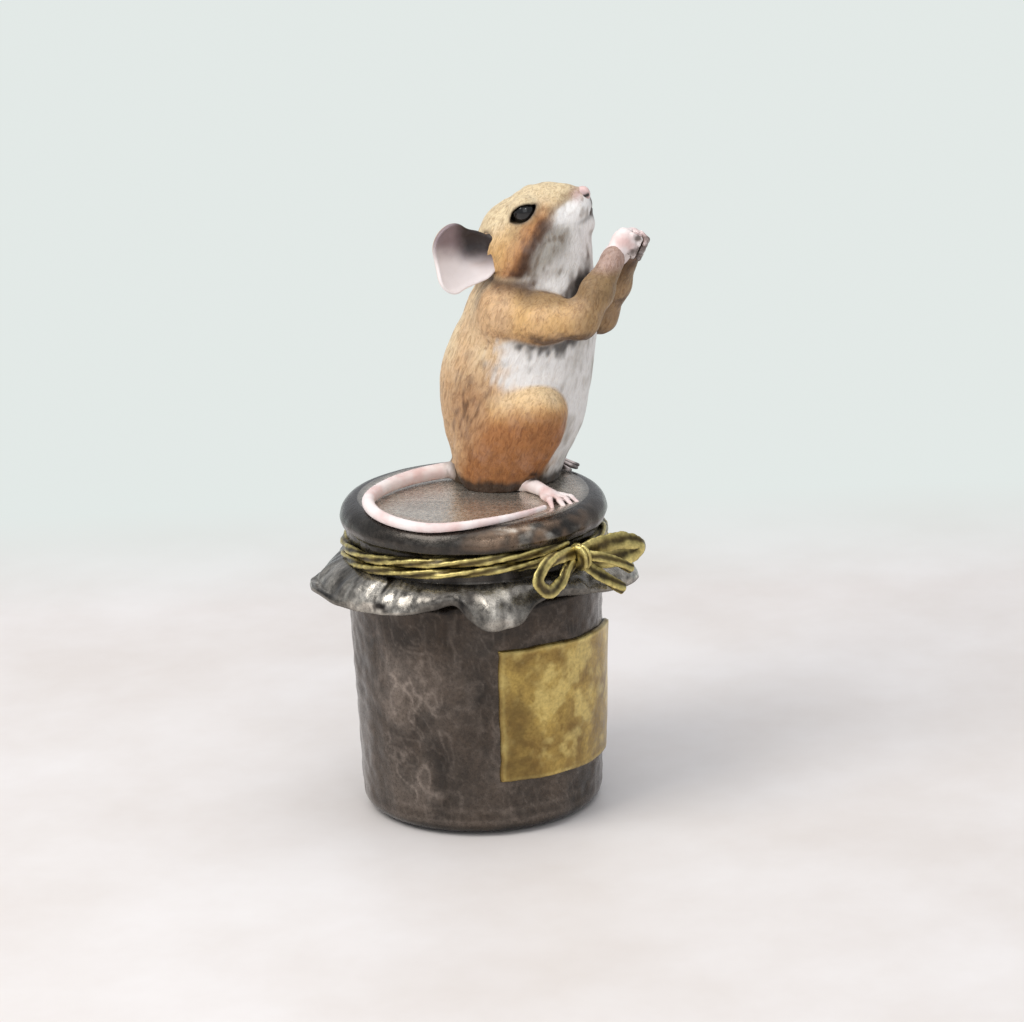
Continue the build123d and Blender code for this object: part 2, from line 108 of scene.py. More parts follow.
# Torso sections: height, forward shift, half depth, half width
TORSO = (
    (-2.0, -0.8, 7.4, 6.2),
    (0.0, -0.4, 8.2, 7.0),
    (4.0, 0.2, 9.2, 8.0),
    (9.0, 0.9, 11.0, 9.4),
    (15.5, 1.4, 11.9, 9.7),
    (21.5, 2.6, 11.6, 9.1),
    (28.0, 4.6, 10.2, 8.0),
    (33.0, 5.6, 8.7, 6.6),
    (37.0, 6.8, 7.3, 5.4),
    (40.0, 8.4, 5.4, 4.2),
    (43.0, 10.0, 2.4, 2.2),
)
SHOULDERS_AT = (0.0, 3.2, 26.5)
SHOULDERS_HALF = (8.6, 7.6, 6.5)
SEAT_SINK = 0.25

# Head sections along its axis: distance, rise, half height, half width
HEAD = (
    (-7.6, 0.0, 0.1, 0.1),
    (-7.0, 0.0, 2.7, 2.7),
    (-5.5, 0.0, 5.2, 5.3),
    (-2.5, -0.2, 7.1, 6.8),
    (1.5, -0.3, 7.3, 6.7),
    (5.5, 0.3, 6.3, 5.3),
    (9.0, 0.6, 4.2, 3.4),
    (10.9, 0.5, 2.5, 2.1),
    (11.6, 0.4, 1.4, 1.3),
    (12.0, 0.4, 0.1, 0.1),
)

# On the head, in along, rise and side: cheeks, whisker pads, chin, and the lips' line with its radius
CHEEK_AT = (0.3, -2.6, 3.5)
CHEEK_HALF = (5.4, 4.7, 3.6)
PAD_AT = (8.8, 0.0, 1.4)
PAD_HALF = (2.3, 1.9, 1.75)
CHIN_AT = (9.0, -2.7, 0.0)
CHIN_R = 1.6
LIP_LINE = (
    (11.6, -1.0, 0.0, 0.2),
    (10.7, -1.7, 1.0, 0.24),
    (9.0, -2.3, 2.1, 0.2),
    (7.8, -2.4, 2.8, 0.1),
)
CLEFT_HIGH = (11.9, 0.2, 0.0)
CLEFT_LOW = (11.5, -1.0, 0.0)
CLEFT_R = 0.16

# Arms: side, forward, height and radius at each bend, for the near and the far one
ARM_NEAR = (
    (6.6, 1.6, 28.2, 3.9),
    (8.0, 7.6, 27.6, 3.5),
    (8.3, 13.2, 27.4, 2.7),
    (6.3, 15.5, 31.4, 2.35),
    (3.4, 17.8, 35.8, 1.8),
)
ARM_FAR = (
    (6.6, 1.6, 28.2, 3.9),
    (8.0, 7.8, 26.2, 3.5),
    (8.2, 13.8, 24.2, 2.7),
    (6.2, 16.6, 29.6, 2.35),
    (3.4, 19.4, 35.2, 1.8),
)
PAW_NEAR = (1.55, 19.5, 38.6)
PAW_FAR = (1.55, 20.3, 38.0)
PAW_LEAN = math.radians(25.0)

# Haunches and hind feet
HAUNCH_AT = (7.0, 2.7, 10.6)
HAUNCH_HALF = (4.1, 7.3, 7.0)
THIGH_AT = (5.6, -0.9, 4.6)
THIGH_HALF = (4.0, 6.9, 7.6)
KNEE_AT = (8.6, 6.4, 13.0)
KNEE_R = 3.4
HEEL_NEAR = (7.4, 4.0)
SPLAY_NEAR = math.radians(46.0)
HEEL_FAR = (6.4, -1.6)
SPLAY_FAR = math.radians(-8.0)
FOOT_LONG = 11.0
TOE_ROOT = 6.9
TOES_LONGER = (0.3, 0.9, 0.7, -1.2)

# Ears, eyes and fingers
EAR_NEAR = (8.4, -5.4, 37.3)
EAR_FAR = (8.4, -1.0, 36.4)
TURN_NEAR = math.radians(33.0)
TURN_FAR = math.radians(68.0)
EAR_DEEP = 2.2
EAR_CURVE = 30.0
EAR_THICK = 0.85
EYE_AT = (3.1, 4.3, 4.0)
EYE_R = 2.0
LID_THICK = 0.4
FINGERS = 4
FINGER_PITCH = 0.8

# Tail: azimuth of each bend and its share of the flat top's radius, from the root to the tip
TAIL_ROOT_R = 1.35
TAIL_TIP_R = 0.42
TAIL_POINTS = 70
TAIL_BENDS = (
    (116, 0.44),
    (126, 0.53),
    (158, 0.61),
    (186, 0.76),
    (207, 0.93),
    (226, 1.04),
    (243, 1.09),
    (260, 1.10),
    (277, 1.05),
    (294, 0.95),
    (310, 0.88),
    (325, 0.845),
)


# Noise and small helpers
def chance(ix, iy, iz, seed):
    """A fixed pseudo-random number from 0 to 1 for each grid point."""
    mixed = ix * 374761393 + iy * 668265263 + iz * 1440662683 + seed * 974634599
    mixed = (mixed ^ (mixed >> 13)) * 1274126177
    mixed = mixed ^ (mixed >> 16)
    return (mixed & 0xFFFFFF) / float(0xFFFFFF)


def noise(points, size, seed=0):
    """Smooth noise from -1 to 1 with blobs of about this size."""
    scaled = points / size
    base = np.floor(scaled).astype(np.int64)
    part = scaled - base
    part = part * part * (3 - 2 * part)
    total = np.zeros(len(points))
    for corner in range(8):
        step = np.array([corner & 1, corner >> 1 & 1, corner >> 2 & 1])
        weight = np.prod(np.where(step, part, 1 - part), axis=1)
        cell = base + step
        total += weight * chance(cell[:, 0], cell[:, 1], cell[:, 2], seed)
    return total * 2 - 1


def rough(points, size, seed=0, layers=3):
    """Noise with finer and fainter layers added."""
    total = np.zeros(len(points))
    for layer in range(layers):
        total += noise(points, size / 2 ** layer, seed + layer) / 2 ** layer
    return total / (2 - 0.5 ** (layers - 1))


def smooth_step(low, high, value):
    """0 below low, 1 above high, and an S curve between."""
    share = np.clip((value - low) / (high - low), 0, 1)
    return share * share * (3 - 2 * share)


def blend(first, second, share):
    """A mix of two colours, row by row."""
    return np.asarray(first) * (1 - share[:, None]) + np.asarray(second) * share[:, None]


def linear(red, green, blue):
    """A screen colour as linear light."""
    screen = np.array([red, green, blue])
    return np.where(screen <= 0.04045, screen / 12.92, ((screen + 0.055) / 1.055) ** 2.4)


# Points of a dense curve for each given row
DENSE = 40


def smooth_curve(rows, count):
    """A smooth curve through rows of numbers: count rows, evenly spaced between the given ones."""
    rows = np.asarray(rows, float)
    slope = np.gradient(rows, axis=0)
    spots = np.linspace(0, len(rows) - 1, count)
    start = np.minimum(spots.astype(int), len(rows) - 2)
    t = (spots - start)[:, None]
    first, second = rows[start], rows[start + 1]
    leave, reach = slope[start], slope[start + 1]
    return (
        first * (2 * t ** 3 - 3 * t ** 2 + 1)
        + leave * (t ** 3 - 2 * t ** 2 + t)
        + second * (3 * t ** 2 - 2 * t ** 3)
        + reach * (t ** 3 - t ** 2)
    )


def around(azimuth, radius, z):
    """Points at these azimuths and radii round the jar."""
    angle = np.radians(azimuth)
    return np.stack(np.broadcast_arrays(radius * np.sin(angle), -radius * np.cos(angle), z), axis=-1)


# Fields: distances to shapes, negative inside
FAR_AWAY = 99.0


def join(first, second, soft):
    """Union of two fields with a soft fillet."""
    gap = np.clip(0.5 + 0.5 * (second - first) / soft, 0, 1)
    return second * (1 - gap) + first * gap - soft * gap * (1 - gap)


def carve(first, second, soft):
    """The first field with the second one cut out of it, softly."""
    return -join(-first, second, soft)


def ball(points, centre, radius):
    """A ball."""
    return np.linalg.norm(points - np.asarray(centre), axis=1) - radius


def egg(points, centre, half):
    """An ellipsoid with its axes along the coordinates."""
    local = points - np.asarray(centre)
    half = np.asarray(half)
    near = np.linalg.norm(local / half, axis=1)
    slope = np.linalg.norm(local / np.square(half), axis=1)
    return near * (near - 1) / np.maximum(slope, 1e-6)


def limb(points, start, end, start_r, end_r):
    """A tapered rod with round ends."""
    start, end = np.asarray(start, float), np.asarray(end, float)
    axis = end - start
    share = np.clip((points - start) @ axis / (axis @ axis), 0, 1)
    radius = start_r + (end_r - start_r) * share
    return np.linalg.norm(points - start - share[:, None] * axis, axis=1) - radius


def chain(points, rows, soft):
    """Limbs one after another through rows of (x, y, z, radius)."""
    total = None
    for (*start, start_r), (*end, end_r) in zip(rows[:-1], rows[1:]):
        one = limb(points, start, end, start_r, end_r)
        total = one if total is None else join(total, one, soft)
    return total


def stack(along, across, side, table):
    """Ellipses on a line: rows of (along, middle across, half across, half side)."""
    dense = smooth_curve([(spot, middle, a * a, b * b) for spot, middle, a, b in table], DENSE * len(table))
    spots = dense[:, 0]
    past = along - np.clip(along, spots[0], spots[-1])
    off = across - np.interp(along, spots, dense[:, 1])
    square_a = np.maximum(np.interp(along, spots, dense[:, 2]), 0.01)
    square_b = np.maximum(np.interp(along, spots, dense[:, 3]), 0.01)
    near = np.sqrt(off ** 2 / square_a + side ** 2 / square_b)
    slope = np.sqrt((off / square_a) ** 2 + (side / square_b) ** 2)
    apart = near * (near - 1) / np.maximum(slope, 1e-6)
    half = np.sqrt(np.maximum(dense[:, 2], 0.01))
    steep = np.clip(np.interp(along, spots, np.gradient(half, spots)), -1.5, 1.5)
    apart = apart / np.sqrt(1 + steep ** 2)
    return np.where(past != 0, np.hypot(np.maximum(apart, 0), past), apart)


def to_mouse(points):
    """Points as side, forward and height on the mouse."""
    return np.stack([points[:, 0] - MOUSE_X, MOUSE_Y - points[:, 1], points[:, 2] - COVER_TOP], axis=1)


def to_head(local):
    """Mouse coordinates as along, rise and side on the head."""
    forward = local[:, 1] - HEAD_FORWARD
    height = local[:, 2] - HEAD_HEIGHT
    cos, sin = math.cos(HEAD_TILT), math.sin(HEAD_TILT)
    return np.stack([forward * cos + height * sin, height * cos - forward * sin, local[:, 0]], axis=1)


def mirrored(local, hand):
    """The same points as seen by a piece made for the positive side."""
    return local * np.array([hand, 1.0, 1.0])


def torso_field(local):
    """The torso with its shoulders, cut level at the seat and at the top."""
    body = stack(local[:, 2], local[:, 1], local[:, 0], TORSO)
    body = join(body, egg(local, SHOULDERS_AT, SHOULDERS_HALF), 3.0)
    body = np.maximum(body, -SEAT_SINK - local[:, 2])
    return np.maximum(body, local[:, 2] - TORSO[-1][0])


def eye_opening(spots):
    """The almond between the lids, in head coordinates."""
    along, rise = spots[:, 0] - EYE_AT[0], spots[:, 1] - EYE_AT[1]
    upper = np.hypot(along, rise + 1.55) - 2.75
    lower = np.hypot(along, rise - 1.75) - 2.95
    return np.maximum(upper, lower)


def head_field(local):
    """The head: skull, cheeks, whisker pads, chin, lips and eyelids."""
    spots = to_head(local)
    wide = np.abs(spots[:, 2])
    even = np.stack([spots[:, 0], spots[:, 1], wide], axis=1)
    skull = stack(spots[:, 0], spots[:, 1], spots[:, 2], HEAD)
    skull = join(skull, egg(even, CHEEK_AT, CHEEK_HALF), 1.6)
    skull = join(skull, egg(even, PAD_AT, PAD_HALF), 0.8)
    skull = join(skull, ball(even, CHIN_AT, CHIN_R), 0.7)
    skull = carve(skull, chain(even, LIP_LINE, 0.1), 0.3)
    skull = carve(skull, limb(even, CLEFT_HIGH, CLEFT_LOW, CLEFT_R, CLEFT_R), 0.2)
    opening = eye_opening(spots)
    beside = (wide > 1.5) & (np.hypot(spots[:, 0] - EYE_AT[0], spots[:, 1] - EYE_AT[1]) < 5.0)
    lids = join(skull, ball(even, EYE_AT, EYE_R + LID_THICK), 1.0)
    lids = lids - 0.12 * np.exp(-np.square((opening - 0.3) / 0.4))
    hole = np.maximum(opening, np.abs(wide - 5.0) - 2.6)
    return np.where(beside, carve(lids, hole, 0.2), skull)


def nose_field(local):
    """The nose's pad with its two nostrils."""
    spots = to_head(local)
    even = np.stack([spots[:, 0], spots[:, 1], np.abs(spots[:, 2])], axis=1)
    pad = egg(even, (11.2, 1.5, 0.0), (1.3, 1.1, 1.25))
    pad = join(pad, egg(even, (11.5, 1.0, 0.6), (0.8, 0.7, 0.7)), 0.3)
    return carve(pad, limb(even, (12.0, 0.95, 0.7), (10.8, 1.35, 1.5), 0.2, 0.24), 0.15)


def to_ear(local, hand):
    """Mouse coordinates as out of the cup, back and up on an ear."""
    turn = TURN_FAR if hand > 0 else TURN_NEAR
    cos, sin = math.cos(turn), math.sin(turn)
    axes = np.array([[cos, sin, 0.0], [sin, -cos, 0.0], [0.0, 0.0, 1.0]])
    return (mirrored(local, hand) - np.array(EAR_FAR if hand > 0 else EAR_NEAR)) @ axes.T


def ear_bowl(back, up):
    """How far out the cup's middle surface lies."""
    return EAR_DEEP * ((back + 1.6) ** 2 / EAR_CURVE + (up - 0.2) ** 2 / EAR_CURVE) - EAR_DEEP


def ear_outline(back, up):
    """Distance to the ear's outline on its own sheet: a round top, a squarer foot and a slight waist."""
    sheet = np.stack([back, up, np.zeros_like(up)], axis=1)
    upper = np.hypot(back - 0.95, up - 1.95) - 3.4
    lower = limb(sheet, (0.85, -2.75, 0.0), (-3.5, -1.7, 0.0), 2.8, 2.5)
    middle = egg(sheet, (-1.6, -0.3, 0.0), (5.2, 4.1, 9.0))
    return join(join(upper, lower, 1.5), middle, 1.0)


def ear_field(local, hand):
    """A cupped ear with a thicker rim and a hollowed root."""
    spots = to_ear(local, hand)
    out, back, up = spots.T
    outline = ear_outline(back, up)
    rim = 0.14 * np.exp(-np.square((outline + 0.3) / 0.4))
    shell = np.abs(out - ear_bowl(back, up)) * 0.84 - EAR_THICK / 2 - rim
    ear = -join(-shell, -outline, 0.4)
    root = limb(spots, (-1.9, -3.4, -0.6), (-2.4, -7.0, -0.8), 1.5, 2.2)
    hollow = ball(spots, (2.1, -2.4, 0.4), 3.3)
    return join(ear, carve(root, hollow, 0.5), 0.9)


def arm_field(local, hand):
    """An arm from the shoulder to the wrist."""
    rows = ARM_FAR if hand > 0 else ARM_NEAR
    return chain(mirrored(local, hand), rows, 1.6)


def to_paw(local, hand):
    """Mouse coordinates as side, ahead and along on a paw."""
    side, forward, height = (mirrored(local, hand) - np.array(PAW_FAR if hand > 0 else PAW_NEAR)).T
    cos, sin = math.cos(PAW_LEAN), math.sin(PAW_LEAN)
    return np.stack([side, forward * cos - height * sin, forward * sin + height * cos], axis=1)


def paw_field(local, hand):
    """A paw with its wrist, fingers and thumb."""
    spots = to_paw(local, hand)
    paw = egg(spots, (0.0, -0.2, -0.3), (1.5, 1.7, 1.95))
    paw = join(paw, limb(spots, (1.0, -0.8, -3.4), (0.15, -0.4, -1.0), 1.45, 1.35), 0.8)
    for finger in range(FINGERS):
        low = -FINGER_PITCH * finger
        knuckle = (0.4, 0.8, 1.05 + low, 0.55)
        middle = (-0.3, 2.0, 0.8 + low, 0.5)
        tip = (-0.95, 2.1, 0.1 + low, 0.4)
        paw = join(paw, chain(spots, (knuckle, middle, tip), 0.2), 0.2)
    thumb = limb(spots, (-0.5, -0.9, 0.9), (-1.0, 0.2, 1.3), 0.5, 0.42)
    return join(paw, thumb, 0.3)


def haunch_field(local, hand):
    """A haunch with its knee, and the thigh below it, cut level at the seat."""
    spots = mirrored(local, hand)
    haunch = egg(spots, HAUNCH_AT, HAUNCH_HALF)
    haunch = join(haunch, ball(spots, KNEE_AT, KNEE_R), 3.0)
    thigh = egg(spots, THIGH_AT, THIGH_HALF)
    return np.maximum(join(haunch, thigh, 4.0), -SEAT_SINK - spots[:, 2])


def to_foot(local, hand):
    """Mouse coordinates as across, ahead and up on a hind foot; the near one droops over the edge."""
    heel, splay = (HEEL_FAR, SPLAY_FAR) if hand > 0 else (HEEL_NEAR, SPLAY_NEAR)
    spots = mirrored(local, hand) - np.array([heel[0], heel[1], 0.0])
    cos, sin = math.cos(splay), math.sin(splay)
    across = spots[:, 0] * cos - spots[:, 1] * sin
    ahead = spots[:, 0] * sin + spots[:, 1] * cos
    droop = 0.0 if hand > 0 else 0.012 * np.square(np.maximum(ahead - 2.0, 0.0))
    return np.stack([across, ahead, spots[:, 2] + droop], axis=1)


def foot_field(local, hand):
    """A hind foot with its toes."""
    spots = to_foot(local, hand)
    foot = limb(spots, (0.0, -0.6, 1.0), (0.0, 6.4, 0.7), 1.25, 0.85)
    foot = join(foot, egg(spots, (0.0, 6.4, 0.5), (1.75, 2.0, 0.8)), 0.6)
    for toe, longer in enumerate(TOES_LONGER):
        lean = toe - 1.5
        reach = FOOT_LONG + longer
        root = (0.8 * lean, TOE_ROOT, 0.6)
        bend = (1.15 * lean, 0.5 * (TOE_ROOT + reach), 0.95)
        tip = (1.5 * lean, reach, 0.3)
        foot = join(foot, chain(spots, ((*root, 0.58), (*bend, 0.52), (*tip, 0.3)), 0.2), 0.2)
    return foot


def over_cover(azimuth, radius, clear):
    """Places this far above the cover's flat top or its rolled edge."""
    flat = CROWN_R - CROWN_ROLL
    reach = CROWN_ROLL + clear
    slope = np.arcsin(np.clip((radius - flat) / reach, 0, 0.95))
    rolled = around(azimuth, flat + reach * np.sin(slope), COVER_TOP - CROWN_ROLL + reach * np.cos(slope))
    level = around(azimuth, radius, COVER_TOP + clear)
    return np.where((radius > flat)[:, None], rolled, level)


def tail_rows():
    """The tail's middle line in mouse coordinates, with its radius."""
    flat = CROWN_R - CROWN_ROLL
    bends = np.array([around(azimuth, share * flat, 0.0) for azimuth, share in TAIL_BENDS])
    line = smooth_curve(bends, TAIL_POINTS)
    size = np.linspace(TAIL_ROOT_R, TAIL_TIP_R, len(line))
    azimuth = np.degrees(np.arctan2(line[:, 0], -line[:, 1]))
    spots = over_cover(azimuth, np.hypot(line[:, 0], line[:, 1]), size - 0.05)
    return np.column_stack([to_mouse(spots), size])


TAIL = tail_rows()


def tail_field(local):
    """The tail as a row of tapered rods."""
    total = np.full(len(local), FAR_AWAY)
    for start, end in zip(TAIL[:-1], TAIL[1:]):
        total = np.minimum(total, limb(local, start[:3], end[:3], start[3], end[3]))
    return total


# Each piece of the mouse: its own field, and the neighbours that it runs into with the softness there
LEFT, RIGHT = 1, -1
SIDES = (("left", LEFT), ("right", RIGHT))
FUR_LEAN = math.radians(20.0)
FIELDS = {
    "mouse_torso": torso_field,
    "mouse_head": head_field,
    "nose_tip": nose_field,
    "tail": tail_field,
}
LIMB_FIELDS = {
    "ear_": ear_field,
    "arm_": arm_field,
    "paw_": paw_field,
    "haunch_": haunch_field,
    "hind_foot_": foot_field,
}
for word, hand in SIDES:
    for limb_name, limb_field in LIMB_FIELDS.items():
        FIELDS[limb_name + word] = partial(limb_field, hand=hand)

SOFTNESS = {
    frozenset(("mouse_torso", "mouse_head")): 1.0,
    frozenset(("mouse_head", "nose_tip")): 0.35,
    frozenset(("mouse_torso", "tail")): 1.2,
}
for word, _ in SIDES:
    SOFTNESS[frozenset(("mouse_head", "ear_" + word))] = 0.45
    SOFTNESS[frozenset(("mouse_torso", "arm_" + word))] = 1.1
    SOFTNESS[frozenset(("mouse_torso", "haunch_" + word))] = 0.9
    SOFTNESS[frozenset(("arm_" + word, "paw_" + word))] = 0.9
    SOFTNESS[frozenset(("haunch_" + word, "hind_foot_" + word))] = 0.7
    SOFTNESS[frozenset(("mouse_torso", "hind_foot_" + word))] = 0.6
    SOFTNESS[frozenset(("mouse_head", "arm_" + word))] = 0.5

# Arms melt into the shoulders by this much more, with the fade given by how far forward a point is
SHOULDER_SOFT = 2.2
SHOULDER_FADE = (8.0, 1.0)

# A piece sinks under its neighbours at this slope, and ends this far past the line between them
SINK = 0.4
LAP = 0.7


def neighbours(name):
    """The pieces that this one runs into."""
    return [other for pair in SOFTNESS for other in pair if name in pair and other != name]


def softness(first, second, local):
    """How softly two pieces run together; the arms melt into the shoulders."""
    soft = SOFTNESS[frozenset((first, second))]
    if "mouse_torso" in (first, second) and "arm" in first + second:
        return soft + SHOULDER_SOFT * smooth_step(*SHOULDER_FADE, local[:, 1])
    return soft


def along_fur(local):
    """Coordinates whose last axis runs along the fur, which leans back as it falls."""
    side, forward, height = local.T
    cos, sin = math.cos(FUR_LEAN), math.sin(FUR_LEAN)
    return np.stack([side, forward * cos - height * sin, forward * sin + height * cos], axis=1)


def fur_depth(local):
    """Chased fur strokes, as a height."""
    return 0.08 * noise(along_fur(local) * [1, 1, 0.35], 0.7, 5) + 0.10 * noise(local, 2.6, 6)


FURRY = ("mouse_torso", "mouse_head", "arm_left", "arm_right", "haunch_left", "haunch_right")


def whole_field(points, names):
    """The named pieces of the mouse blended into one field."""
    local = to_mouse(points)
    apart = {name: FIELDS[name](local) for name in names}
    total = apart[names[0]]
    for name in names[1:]:
        total = join(total, apart[name], softness(name, names[0], local))
    return total


def piece_field(name):
    """One piece of the mouse: it follows the whole skin and ends under its neighbours."""
    near = [name] + neighbours(name)

    def field(points):
        local = to_mouse(points)
        apart = {other: FIELDS[other](local) for other in near}
        own = apart[name]
        skin_line = own
        others = np.full(len(points), FAR_AWAY)
        for other in near[1:]:
            skin_line = join(skin_line, apart[other], softness(name, other, local))
            others = np.minimum(others, apart[other])
        past = (own - others) / 2
        if name in FURRY:
            skin_line = skin_line + fur_depth(local) * smooth_step(-2.0, 1.0, others)
        return np.maximum(skin_line + SINK * np.maximum(past, 0), past - LAP)

    return field


# Meshes: a coarse grid of blocks finds the surface, and the blocks near it are filled in
BLOCK = 4
BLOCK_REACH = 1.7
BATCH = 200000


def grid_index(count):
    """Every index of a grid with this many places along each axis."""
    return np.stack(np.meshgrid(*[np.arange(n) for n in count], indexing="ij"), axis=-1).reshape(-1, 3)


def skin(field, low, high, step):
    """A closed mesh where field is zero, as vertices and four-sided faces."""
    low = np.asarray(low, float)
    count = np.ceil((np.asarray(high) - low) / step).astype(int) + 1
    blocks = (count + BLOCK - 1) // BLOCK
    count = blocks * BLOCK
    index = grid_index(blocks)
    coarse = field(low + (index * BLOCK + (BLOCK - 1) / 2) * step)
    close = np.abs(coarse) < BLOCK * step * BLOCK_REACH
    values = coarse.reshape(blocks)
    for axis in range(3):
        values = np.repeat(values, BLOCK, axis)
    cells = (index[close][:, None, :] * BLOCK + grid_index([BLOCK] * 3)[None]).reshape(-1, 3)
    found = np.empty(len(cells))
    for start in range(0, len(cells), BATCH):
        some = slice(start, start + BATCH)
        found[some] = field(low + cells[some] * step)
    values[tuple(cells.T)] = found

    inside = values < 0
    corners = [np.array([c & 1, c >> 1 & 1, c >> 2 & 1]) for c in range(8)]
    span = count - 1

    def shifted(grid, corner):
        return grid[tuple(slice(start, start + size) for start, size in zip(corner, span))]

    filled = sum(shifted(inside, corner).astype(np.int8) for corner in corners)
    active = (filled > 0) & (filled < 8)
    where = np.argwhere(active)
    number = np.full(span, -1)
    number[active] = np.arange(len(where))
    total = np.zeros((len(where), 3))
    hits = np.zeros(len(where))
    for first in range(8):
        for axis in range(3):
            if first >> axis & 1:
                continue
            second = first | 1 << axis
            a = values[tuple((where + corners[first]).T)]
            b = values[tuple((where + corners[second]).T)]
            crossing = (a < 0) != (b < 0)
            share = np.where(crossing, a / np.where(crossing, a - b, 1), 0)
            spot = corners[first] + share[:, None] * (corners[second] - corners[first])
            total += spot * crossing[:, None]
            hits += crossing
    vertices = low + (where + total / hits[:, None]) * step

    faces = []
    for axis in range(3):
        other, third = (axis + 1) % 3, (axis + 2) % 3
        ahead = np.zeros(3, int)
        ahead[axis] = 1
        start = inside[tuple(slice(0, n - 1) if a == axis else slice(1, n - 1) for a, n in enumerate(count))]
        end = inside[tuple(slice(1, n) if a == axis else slice(1, n - 1) for a, n in enumerate(count))]
        edge = np.argwhere(start != end) + np.array([0 if a == axis else 1 for a in range(3)])
        turn = start[start != end]
        ring = []
        for back_other, back_third in ((0, 0), (1, 0), (1, 1), (0, 1)):
            cell = edge.copy()
            cell[:, other] -= back_other
            cell[:, third] -= back_third
            ring.append(number[tuple(cell.T)])
        quad = np.stack(ring, axis=1)
        faces.append(np.where(turn[:, None], quad, quad[:, ::-1]))
    faces = np.concatenate(faces)
    for _ in range(2):
        vertices = settle(field, vertices, step)
    return vertices, faces


def slopes(field, vertices, reach=0.06):
    """The field's gradient at each vertex."""
    result = np.empty_like(vertices)
    for axis in range(3):
        step = np.zeros(3)
        step[axis] = reach
        result[:, axis] = (field(vertices + step) - field(vertices - step)) / (2 * reach)
    return result


def settle(field, vertices, step):
    """Vertices moved onto the surface, by at most half a step."""
    slope = slopes(field, vertices)
    size = np.maximum(np.sum(slope ** 2, axis=1), 0.05)
    move = -(field(vertices) / size)[:, None] * slope
    length = np.linalg.norm(move, axis=1, keepdims=True)
    return vertices + move * np.minimum(1, 0.5 * step / np.maximum(length, 1e-9))


def make_piece(name, vertices, faces, colours=None):
    """A smooth-shaded mesh object from millimetre vertices."""
    mesh = bpy.data.meshes.new(name)
    size = faces.shape[1]
    mesh.vertices.add(len(vertices))
    mesh.vertices.foreach_set("co", (np.asarray(vertices) * MM).astype(np.float32).ravel())
    mesh.loops.add(len(faces) * size)
    mesh.loops.foreach_set("vertex_index", faces.astype(np.int32).ravel())
    mesh.polygons.add(len(faces))
    mesh.polygons.foreach_set("loop_start", np.arange(0, len(faces) * size, size, dtype=np.int32))
    mesh.polygons.foreach_set("use_smooth", np.ones(len(faces), bool))
    mesh.update(calc_edges=True)
    if colours is not None:
        paint = mesh.color_attributes.new("paint", "FLOAT_COLOR", "POINT")
        paint.data.foreach_set("color", colours.astype(np.float32).ravel())
    mesh.validate()
    piece = bpy.data.objects.new(name, mesh)
    bpy.context.collection.objects.link(piece)
    return piece


def sheet_grid(points, wrap_rows, wrap_columns):
    """Faces of a grid of points, joined round where it wraps."""
    rows, columns = points.shape[:2]
    index = np.arange(rows * columns).reshape(rows, columns)
    down = np.roll(index, -1, 0) if wrap_rows else index[1:]
    if not wrap_rows:
        index = index[:-1]
    across = np.roll(index, -1, 1)
    corner = np.roll(down, -1, 1)
    if not wrap_columns:
        index, down, across, corner = (part[:, :-1] for part in (index, down, across, corner))
    return np.stack([index, across, corner, down], axis=-1).reshape(-1, 4)


# Paint: the colours, given as on a screen
CREAM = linear(0.93, 0.84, 0.69)
FOREHEAD = linear(0.91, 0.83, 0.68)
TAN = linear(0.86, 0.71, 0.54)
FLANK = linear(0.72, 0.56, 0.41)
ORANGE = linear(0.71, 0.48, 0.29)
CHEEK = linear(0.90, 0.73, 0.50)
RUST = linear(0.44, 0.28, 0.17)
OLIVE = linear(0.54, 0.44, 0.31)
BROWN = linear(0.36, 0.25, 0.17)
DARK = linear(0.12, 0.09, 0.07)
WHITE = linear(0.96, 0.95, 0.94)
GREY = linear(0.66, 0.64, 0.61)
STROKE = linear(0.66, 0.57, 0.49)
PINK = linear(0.91, 0.78, 0.76)
PALE = linear(0.98, 0.94, 0.93)
MAUVE = linear(0.57, 0.50, 0.51)
WARM = linear(0.62, 0.50, 0.40)
EYE_DARK = linear(0.02, 0.02, 0.02)
EYE_LIGHT = linear(0.09, 0.08, 0.07)
STEEL = linear(0.62, 0.62, 0.62)
BRASS = linear(0.66, 0.52, 0.28)
FELT_DARK = linear(0.10, 0.12, 0.10)
FELT_LIGHT = linear(0.22, 0.25, 0.21)
FLOOR_DARK = linear(0.90, 0.87, 0.85)
FLOOR_LIGHT = linear(0.94, 0.92, 0.91)
FLOOR_FAR = linear(0.89, 0.915, 0.905)


def fold_shade_depth(points, normals, names):
    """How deep each point sits in a fold of the mouse, from 0 to 1: the strength of the painted shade there.
    """
    depth = np.zeros(len(points))
    for reach, weight in ((0.5, 0.35), (1.2, 0.35), (2.6, 0.3)):
        ahead = whole_field(points + normals * reach, names)
        depth += weight * np.clip(1 - ahead / reach, 0, 1.5)
    return depth


def limb_share(local, word):
    """1 on the two limbs of this name, 0 on the torso, with a short fade where they meet."""
    nearest = np.minimum(FIELDS[word + "_left"](local), FIELDS[word + "_right"](local))
    return smooth_step(0.7, -0.5, nearest - torso_field(local))


# Where the white of the belly begins: height and how far forward
BELLY_EDGE = (
    (0, 6.5),
    (8, 7.0),
    (13, 5.5),
    (16, 2.4),
    (19, 1.0),
    (22, 1.4),
    (25, 2.0),
    (30, 3.0),
    (33, 4.0),
)

# Where the cheek ends and the throat begins: along and rise
CHEEK_EDGE = (
    (-8, -7.0),
    (-5, -5.4),
    (-1.3, -3.3),
    (2.3, -1.3),
    (5.7, 0.2),
    (7.7, 1.6),
    (10.5, 1.7),
    (12.3, 0.9),
)

# Heights of the two silver bands on the flank; their white is a painted sheen over the metallic paint
SILVER_HIGH = 22.6
SILVER_LOW = 18.0


